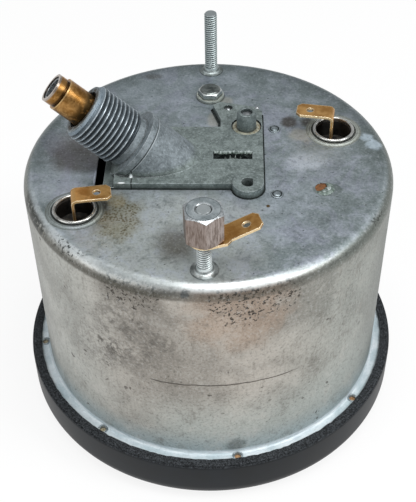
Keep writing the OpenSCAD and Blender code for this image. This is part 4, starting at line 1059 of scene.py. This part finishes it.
NUT_LOW, NUT_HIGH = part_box("stud_nut")
NUT_AF = 10.2 * MM
NUT_TURN = math.radians(9)
NUT_CHAMFER = 0.35 * MM
NUT_SLOPE = math.radians(30)
NUT_CORNER = 1.145
NUT_BORE = 2.16 * MM
NUT_SINK = 0.25 * MM


def hexagon_nut():
    """The smaller of a hexagon's radius at each angle and a cone's at each end, round a countersunk bore."""
    height = NUT_HIGH.z - NUT_LOW.z
    share = np.concatenate([np.linspace(0, 0.18, 14), np.linspace(0.2, 0.8, 6), np.linspace(0.82, 1, 18)])
    level = share[:, None] * height
    around = circle_angles(6 * 28)[None, :]
    sector = np.mod(around, TURN / 6) - TURN / 12
    hexagon = np.minimum(NUT_AF / 2 / np.cos(sector), NUT_AF / 2 * NUT_CORNER)
    cone = NUT_AF / 2 - NUT_CHAMFER + np.minimum(level, height - level) / math.tan(NUT_SLOPE)
    outside = round_axis(np.minimum(hexagon, cone), level, around + NUT_TURN)
    mouth = NUT_BORE + NUT_SINK
    bore = [(mouth, height), (NUT_BORE, height - NUT_SINK), (NUT_BORE, NUT_SINK), (mouth, 0.0)]
    inside = [round_axis(r, h, around + NUT_TURN) for r, h in bore]
    centre = np.array([(NUT_LOW.x + NUT_HIGH.x) / 2, STUD_SPOTS[0][1] * MM, NUT_LOW.z])
    return surface("hexagon_nut", np.concatenate([outside, *inside, outside[:1]]) + centre, smooth=24)


settle(hexagon_nut(), "turned_nut", "stud_nut", "nut_steel", "stud_nut")


# Rivets

RIVET_R = 1.9 * MM
RIVET_H = 0.5 * MM
RIVET_SHANK_R = 1.2 * MM
RIVET_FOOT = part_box("casting_rivets")[0].z
RIVET_TOP = ((0.0, 1.0), (0.25, 0.95), (0.45, 0.8), (0.58, 0.55), (0.66, 0.2),
             (0.74, 0.2), (0.8, 0.5), (0.93, 0.5), (1.0, 0.3))


def rivet(x, y):
    """A low dome, a ring groove and a flat rim, as shares of the rivet's radius and height, on its shank."""
    top = [(r * RIVET_R, BACK_Z + h * RIVET_H) for r, h in RIVET_TOP]
    shank = [(RIVET_R, BACK_Z), (RIVET_SHANK_R, BACK_Z), (RIVET_SHANK_R, RIVET_FOOT), (0.0, RIVET_FOOT)]
    return turned(top + shank, 48, (x * MM, y * MM, 0.0))


rivets = surface("domed_rivets", *[rivet(*middle) for middle in RIVET_SPOTS])
settle(rivets, "rivet_zinc", "housing", "steel", "casting_rivets")


# Bezel with a rough rolled edge

BEZEL_LOW, BEZEL_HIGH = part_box("bezel")
BEZEL_R = BEZEL_HIGH.x
BEZEL_T = 1.0 * MM
BEZEL_STEPS = 720
WINDOW_R = 53.0 * MM
FRONT_R = 7.0 * MM
ROLL_R = 1.5 * MM
LIP_R = 60.1 * MM
LIP_H = 0.5 * MM
GLASS_DEPTH = 3.2 * MM
RAGGED_DROP = 0.14 * MM
RAGGED_OUT = 0.1 * MM
GROOVE_DEPTH = 0.32 * MM
GROOVE_ROWS = slice(6, 8)


def smoothed_chance(rows, columns):
    """Seeded noise of spread 1, smoothed twice round the ring and across its rows."""
    chance = np.random.default_rng(11).normal(size=(rows, columns))
    for _ in range(2):
        chance = chance + np.roll(chance, 1, 1) + np.roll(chance, -1, 1)
        chance[1:-1] += 0.7 * (chance[:-2] + chance[2:])
        chance /= chance.std()
    return chance


def rolled_bezel():
    """The spun section carried round, its rear roll and lip lifted by noise and cut by a groove."""
    front_x = BEZEL_R - FRONT_R
    roll = (BEZEL_R - ROLL_R, BEZEL_HIGH.z - ROLL_R)
    lip = [(r, BEZEL_HIGH.z) for r in np.linspace(BEZEL_R - ROLL_R, LIP_R, 9)[1:]]
    rear = arc(roll, ROLL_R, 0, 90, 14) + lip + [(LIP_R, BEZEL_HIGH.z - LIP_H)]
    front = [(WINDOW_R, BEZEL_LOW.z), (front_x, BEZEL_LOW.z)] + arc((front_x, FRONT_R), FRONT_R, -90, 0, 18)
    inside = [(LIP_R, FLANGE_Z), (roll[0], FLANGE_Z)] + arc(roll, ROLL_R - BEZEL_T, 90, 0, 6)
    inside += arc((front_x, FRONT_R), FRONT_R - BEZEL_T, 0, -90, 12)
    inside += [(WINDOW_R + BEZEL_T, BEZEL_T), (WINDOW_R + BEZEL_T, GLASS_DEPTH), (WINDOW_R, GLASS_DEPTH)]
    shell = turned(front + rear + inside + front[:1], BEZEL_STEPS)
    rough = shell[len(front):len(front) + len(rear)]
    outward = rough[..., :2] / np.linalg.norm(rough[..., :2], axis=2, keepdims=True)
    fade = np.concatenate([np.zeros(3), np.linspace(0, 1, 9), np.ones(len(rear) - 12)])[:, None]
    chance = smoothed_chance(len(rear), BEZEL_STEPS) * fade
    groove = np.zeros((len(rear), 1))
    groove[GROOVE_ROWS] = GROOVE_DEPTH
    rough[..., :2] += outward * (chance * RAGGED_OUT - groove)[..., None]
    rough[..., 2] -= np.abs(chance) * RAGGED_DROP + groove * 0.6
    return surface("rolled_bezel", shell, smooth=60)


settle(rolled_bezel(), "bezel_paint", "housing", "bezel_black", "bezel")


# Flange holes with raised rims

HOLE_RING_R = 58.8 * MM
HOLE_TURN = math.radians(9.5)
HOLE_COUNT = 8
RIM_R = 1.42 * MM
RIM_BEAD = 0.34 * MM
RIM_LIFT = 0.05 * MM
RIM_SWEEP = 1.9
RIM_TAPER = 1.45


def hole_rim(angle):
    """A bead bent into a horseshoe round the inner side of one flange hole, thinning to its ends."""
    share = np.linspace(-1.0, 1.0, 40)[:, None]
    around = circle_angles(12)[None, :]
    sweep = share * RIM_SWEEP + angle + math.pi
    bead = RIM_BEAD * np.cos(share * RIM_TAPER) ** 0.5
    reach = RIM_R + bead * np.cos(around)
    x = HOLE_RING_R * math.cos(angle) + reach * np.cos(sweep)
    y = HOLE_RING_R * math.sin(angle) + reach * np.sin(sweep)
    return with_ends(np.stack([x, y, FLANGE_Z + RIM_LIFT + bead * np.sin(around)], -1))


hole_angles = [HOLE_TURN + TURN * hole / HOLE_COUNT for hole in range(HOLE_COUNT)]
rims = surface("flange_hole_rims", *[hole_rim(angle) for angle in hole_angles])
settle(rims, "rivet_zinc", "housing", "plated_steel")


# Burrs of the access hole and the slot

ACCESS_AT = (34.5 * MM, -13.1 * MM)
BURR_R = 2.7 * MM
BURR_TURN = math.radians(-38)
BURR_SWEEP = 1.75
BURR_TAPER = 1.45
BURR_SECTION = np.array([(3.7, -0.1), (3.5, 0.06), (2.9, 0.3), (2.2, 0.52), (1.4, 0.42), (0.7, 0.22),
                         (0.8, 0.08), (1.5, 0.24), (2.2, 0.3), (2.8, 0.05), (3.2, -0.1)]) * MM
PLATE_Z = BACK_Z + 2.0 * MM
SLOT_X = (1.7 * MM, 13.5 * MM)
SLOT_REAR_Y = 1.9 * MM
SLOT_STEPS = 64
SLOT_REACH = np.array([[0.12], [0.55], [1.0]]) * MM


def access_burr():
    """A curled lip: its section (radius, height) carried round the front right side, thinning to its ends."""
    step = np.linspace(-1.0, 1.0, 41)[:, None]
    share = np.cos(step * BURR_TAPER) ** 0.7 * (1 + 0.12 * np.sin(step * 9))
    angle = BURR_TURN + step * BURR_SWEEP
    radius = BURR_R + (BURR_SECTION[:, 0] - BURR_R) * share
    x = ACCESS_AT[0] + radius * np.cos(angle)
    y = ACCESS_AT[1] + radius * np.sin(angle)
    return surface("access_burr", with_ends(np.stack([x, y, BACK_Z + BURR_SECTION[:, 1] * share], -1)))


def slot_burr():
    """A ragged edge along the rear of the slot, whose rise, overhang and hang vary by seeded noise."""
    chance = np.random.default_rng(5).uniform(0.4, 1.0, (3, SLOT_STEPS))
    rise, over, hang = chance * SLOT_REACH
    flat = np.zeros(SLOT_STEPS)
    x = np.linspace(*SLOT_X, SLOT_STEPS)[:, None] + np.zeros(5)
    y = np.stack([flat + 0.3 * MM, flat + 0.15 * MM, -over * 0.4, -over, flat + 0.05 * MM], -1)
    z = np.stack([flat - 0.05 * MM, rise, -hang * 0.35, -hang, -1.1 * hang], -1)
    return surface("slot_burr", with_ends(np.stack([x, SLOT_REAR_Y + y, PLATE_Z + z], -1)), smooth=20)


settle(access_burr(), "torn_edge", "housing", "plated_steel")
settle(slot_burr(), "torn_edge", "housing", "zinc")


# Pin ends in the casting's ear

EAR_HOLE_AT = (6.0 * MM, 25.2 * MM)
EAR_BUMP_AT = (15.3 * MM, 24.9 * MM)


def round_end(at, radius, inner, foot, rim, top):
    """A pin that ends in a flat rim and a dome inside it; its heights are in millimetres over the plate."""
    foot, rim, top = (PLATE_Z + height * MM for height in (foot, rim, top))
    dome = [(inner * math.sin(a), rim + (top - rim) * math.cos(a)) for a in np.linspace(0, math.pi / 2, 8)]
    return turned(dome + [(radius, rim), (radius, foot), (0.0, foot)], 40, (*at, 0.0))


pin_ends = surface("pin_ends", round_end(EAR_HOLE_AT, 1.44 * MM, 0.8 * MM, -5.0, -1.0, -0.3),
                   round_end(EAR_BUMP_AT, 0.75 * MM, 0.7 * MM, -0.3, 0.05, 0.5))
settle(pin_ends, "bright_steel", "housing", "steel")


# Print on the dial and numbers on the odometer wheels

DIAL_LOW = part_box("dial")[0]
PRINT_T = 0.02 * MM
SCALE_START = math.radians(225)
SCALE_SWEEP = math.radians(270)
TOP_SPEED = 120
TICK_OUT = 51.5 * MM
LONG_TICK = (46.5 * MM, 0.9 * MM)
SHORT_TICK = (49.0 * MM, 0.45 * MM)
NUMBER_R = 41.5 * MM
NUMBER_SIZE = 6.2 * MM
FIGURE_SIZE = 3.6 * MM
BOX_FACES = [[0, 3, 2, 1], [4, 5, 6, 7], [0, 1, 5, 4], [1, 2, 6, 5], [2, 3, 7, 6], [3, 0, 4, 7]]


def letters(body, size):
    """The outline of some figures as points in a plane and faces, centred on the origin."""
    curve = bpy.data.curves.new("figures", "FONT")
    curve.body = body
    curve.size = size
    curve.align_x = "CENTER"
    curve.align_y = "CENTER"
    curve.extrude = PRINT_T
    curve.resolution_u = 4
    holder = bpy.data.objects.new("figures", curve)
    mesh = bpy.data.meshes.new_from_object(holder)
    points = np.array([vertex.co for vertex in mesh.vertices])
    faces = [list(face.vertices) for face in mesh.polygons]
    bpy.data.objects.remove(holder)
    bpy.data.meshes.remove(mesh)
    return points, faces


def on_dial(points, angle, radius):
    """Upright figures at a place on the dial, whose top is +X and whose right is +Y, seen from the front."""
    up = radius * math.cos(angle) + points[:, 1]
    right = radius * math.sin(angle) + points[:, 0]
    return np.stack([up, right, DIAL_LOW.z - points[:, 2]], -1)


def tick(angle, inner, width):
    """A flat bar along a radius of the dial."""
    half = width / 2
    outline = ((inner, -half), (TICK_OUT, -half), (TICK_OUT, half), (inner, half))
    r, w, t = np.array([(r, w, t) for t in (-PRINT_T, PRINT_T) for r, w in outline]).T
    x = r * math.cos(angle) - w * math.sin(angle)
    y = r * math.sin(angle) + w * math.cos(angle)
    return np.stack([x, y, DIAL_LOW.z + t], -1), BOX_FACES


def dial_print():
    """Ticks every 2 units, longer every 10, and a plain number every 10."""
    parts = []
    for speed in range(0, TOP_SPEED + 1, 2):
        angle = SCALE_START + SCALE_SWEEP * speed / TOP_SPEED
        long = speed % 10 == 0
        parts.append(tick(angle, *(LONG_TICK if long else SHORT_TICK)))
        if long:
            points, faces = letters(str(speed), NUMBER_SIZE)
            parts.append((on_dial(points, angle, NUMBER_R), faces))
    return joined("dial_print", parts)


def wheel_numbers(wheel):
    """Ten figures bent round one odometer wheel: a figure's height becomes an angle about its axis."""
    low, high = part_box("odometer_wheel_%d" % wheel)
    radius = (high.x - low.x) / 2
    centre = (low + high) / 2
    parts = []
    for figure in range(10):
        points, faces = letters(str(figure), FIGURE_SIZE)
        angle = points[:, 1] / radius + TURN * figure / 10
        reach = radius + points[:, 2]
        x = centre.x + reach * np.sin(angle)
        z = centre.z - reach * np.cos(angle)
        parts.append((np.stack([x, centre.y + points[:, 0], z], -1), faces))
    return joined("wheel_numbers_%d" % wheel, parts)


settle(dial_print(), "dial_print", "housing", "number_white")
settle(wheel_numbers(1), "number_print", "odometer_1", "number_black")
for wheel in range(2, 7):
    settle(wheel_numbers(wheel), "dial_print", "odometer_%d" % wheel, "number_white")


# Floor, light and camera

FLOOR_TONE = rgb(244, 244, 244)
WORLD_TONE = (0.96, 0.98, 1.0, 1.0)
WORLD_STRENGTH = 0.42
LAMPS = (("key_right", (0.52, -0.20, 0.66), 0.24, 2.9),
         ("top_front", (0.04, -0.14, 0.90), 0.40, 3.6),
         ("fill_left", (-0.6, -0.45, 0.5), 0.5, 1.5))
LAMPS_LOOK_AT = Vector((0.0, 0.0, 60.0 * MM))
VIEW_W, VIEW_H = 416, 502
FOCAL_PX = 1019.87
MIDDLE_PX = (209.92, 275.25)
LOOK_AT = Vector((0.0, 0.0, 40.0 * MM))
DISTANCE = 348.88 * MM
ELEVATION = math.radians(44.28)
AZIMUTH = math.radians(1.735)
ROLL = math.radians(-0.88)


def lit_floor():
    """A pale floor that the camera and mirrors see as white, with a trace of the object's shadow."""
    bpy.ops.mesh.primitive_plane_add(size=8.0, location=(0.0, 0.0, -0.02 * MM))
    floor = bpy.context.object
    floor.name = "floor"
    made = bpy.data.materials.new("floor_white")
    made.use_nodes = True
    tree = made.node_tree
    tree.nodes.clear()
    w = Wire(tree)
    seen = w.node("LightPath", out="Is Camera Ray") + w.node("LightPath", out="Is Glossy Ray")
    seen = w.math("MINIMUM", seen + w.node("LightPath", out="Is Transmission Ray"), 1.0)
    ground = w.node("BsdfDiffuse", values={"Color": FLOOR_TONE})
    white = w.node("Emission", values={"Color": (1.0, 1.0, 1.0, 1.0), "Strength": 1.0})
    shown = w.node("MixShader", values={0: seen * 0.86, 1: ground, 2: white})
    tree.links.new(shown.socket, tree.nodes.new("ShaderNodeOutputMaterial").inputs["Surface"])
    floor.data.materials.append(made)


def soft_box(name, at, size, power):
    """A square lamp that looks at the object."""
    lamp = bpy.data.lights.new(name, "AREA")
    lamp.size = size
    lamp.energy = power
    holder = bpy.data.objects.new(name, lamp)
    holder.location = at
    holder.rotation_euler = (LAMPS_LOOK_AT - Vector(at)).to_track_quat("-Z", "Y").to_euler()
    bpy.context.scene.collection.objects.link(holder)


def studio_light():
    """A pale surround and three soft lamps: small on the right, large overhead, weak on the left."""
    world = bpy.data.worlds.new("surround")
    bpy.context.scene.world = world
    world.use_nodes = True
    ground = world.node_tree.nodes["Background"]
    ground.inputs["Color"].default_value = WORLD_TONE
    ground.inputs["Strength"].default_value = WORLD_STRENGTH
    for lamp in LAMPS:
        soft_box(*lamp)


def photo_camera():
    """The photograph's viewpoint: distance, elevation, azimuth, roll, focal length and picture middle."""
    camera = bpy.data.cameras.new("photo_camera")
    camera.sensor_width = 36.0
    camera.lens = FOCAL_PX / VIEW_H * camera.sensor_width
    camera.shift_x = (VIEW_W / 2 - MIDDLE_PX[0]) / VIEW_H
    camera.shift_y = (MIDDLE_PX[1] - VIEW_H / 2) / VIEW_H
    camera.clip_start = 10 * MM
    level = Vector((math.sin(AZIMUTH), -math.cos(AZIMUTH), 0.0))
    back = level * math.cos(ELEVATION) + Vector((0.0, 0.0, math.sin(ELEVATION)))
    right = Vector((math.cos(AZIMUTH), math.sin(AZIMUTH), 0.0))
    turned_right = right * math.cos(ROLL) + back.cross(right) * math.sin(ROLL)
    holder = bpy.data.objects.new("photo_camera", camera)
    holder.matrix_world = Matrix((turned_right, back.cross(turned_right), back)).transposed().to_4x4()
    holder.location = LOOK_AT + back * DISTANCE
    bpy.context.scene.collection.objects.link(holder)
    bpy.context.scene.camera = holder


lit_floor()
studio_light()
photo_camera()
bpy.context.scene.view_settings.view_transform = "Standard"
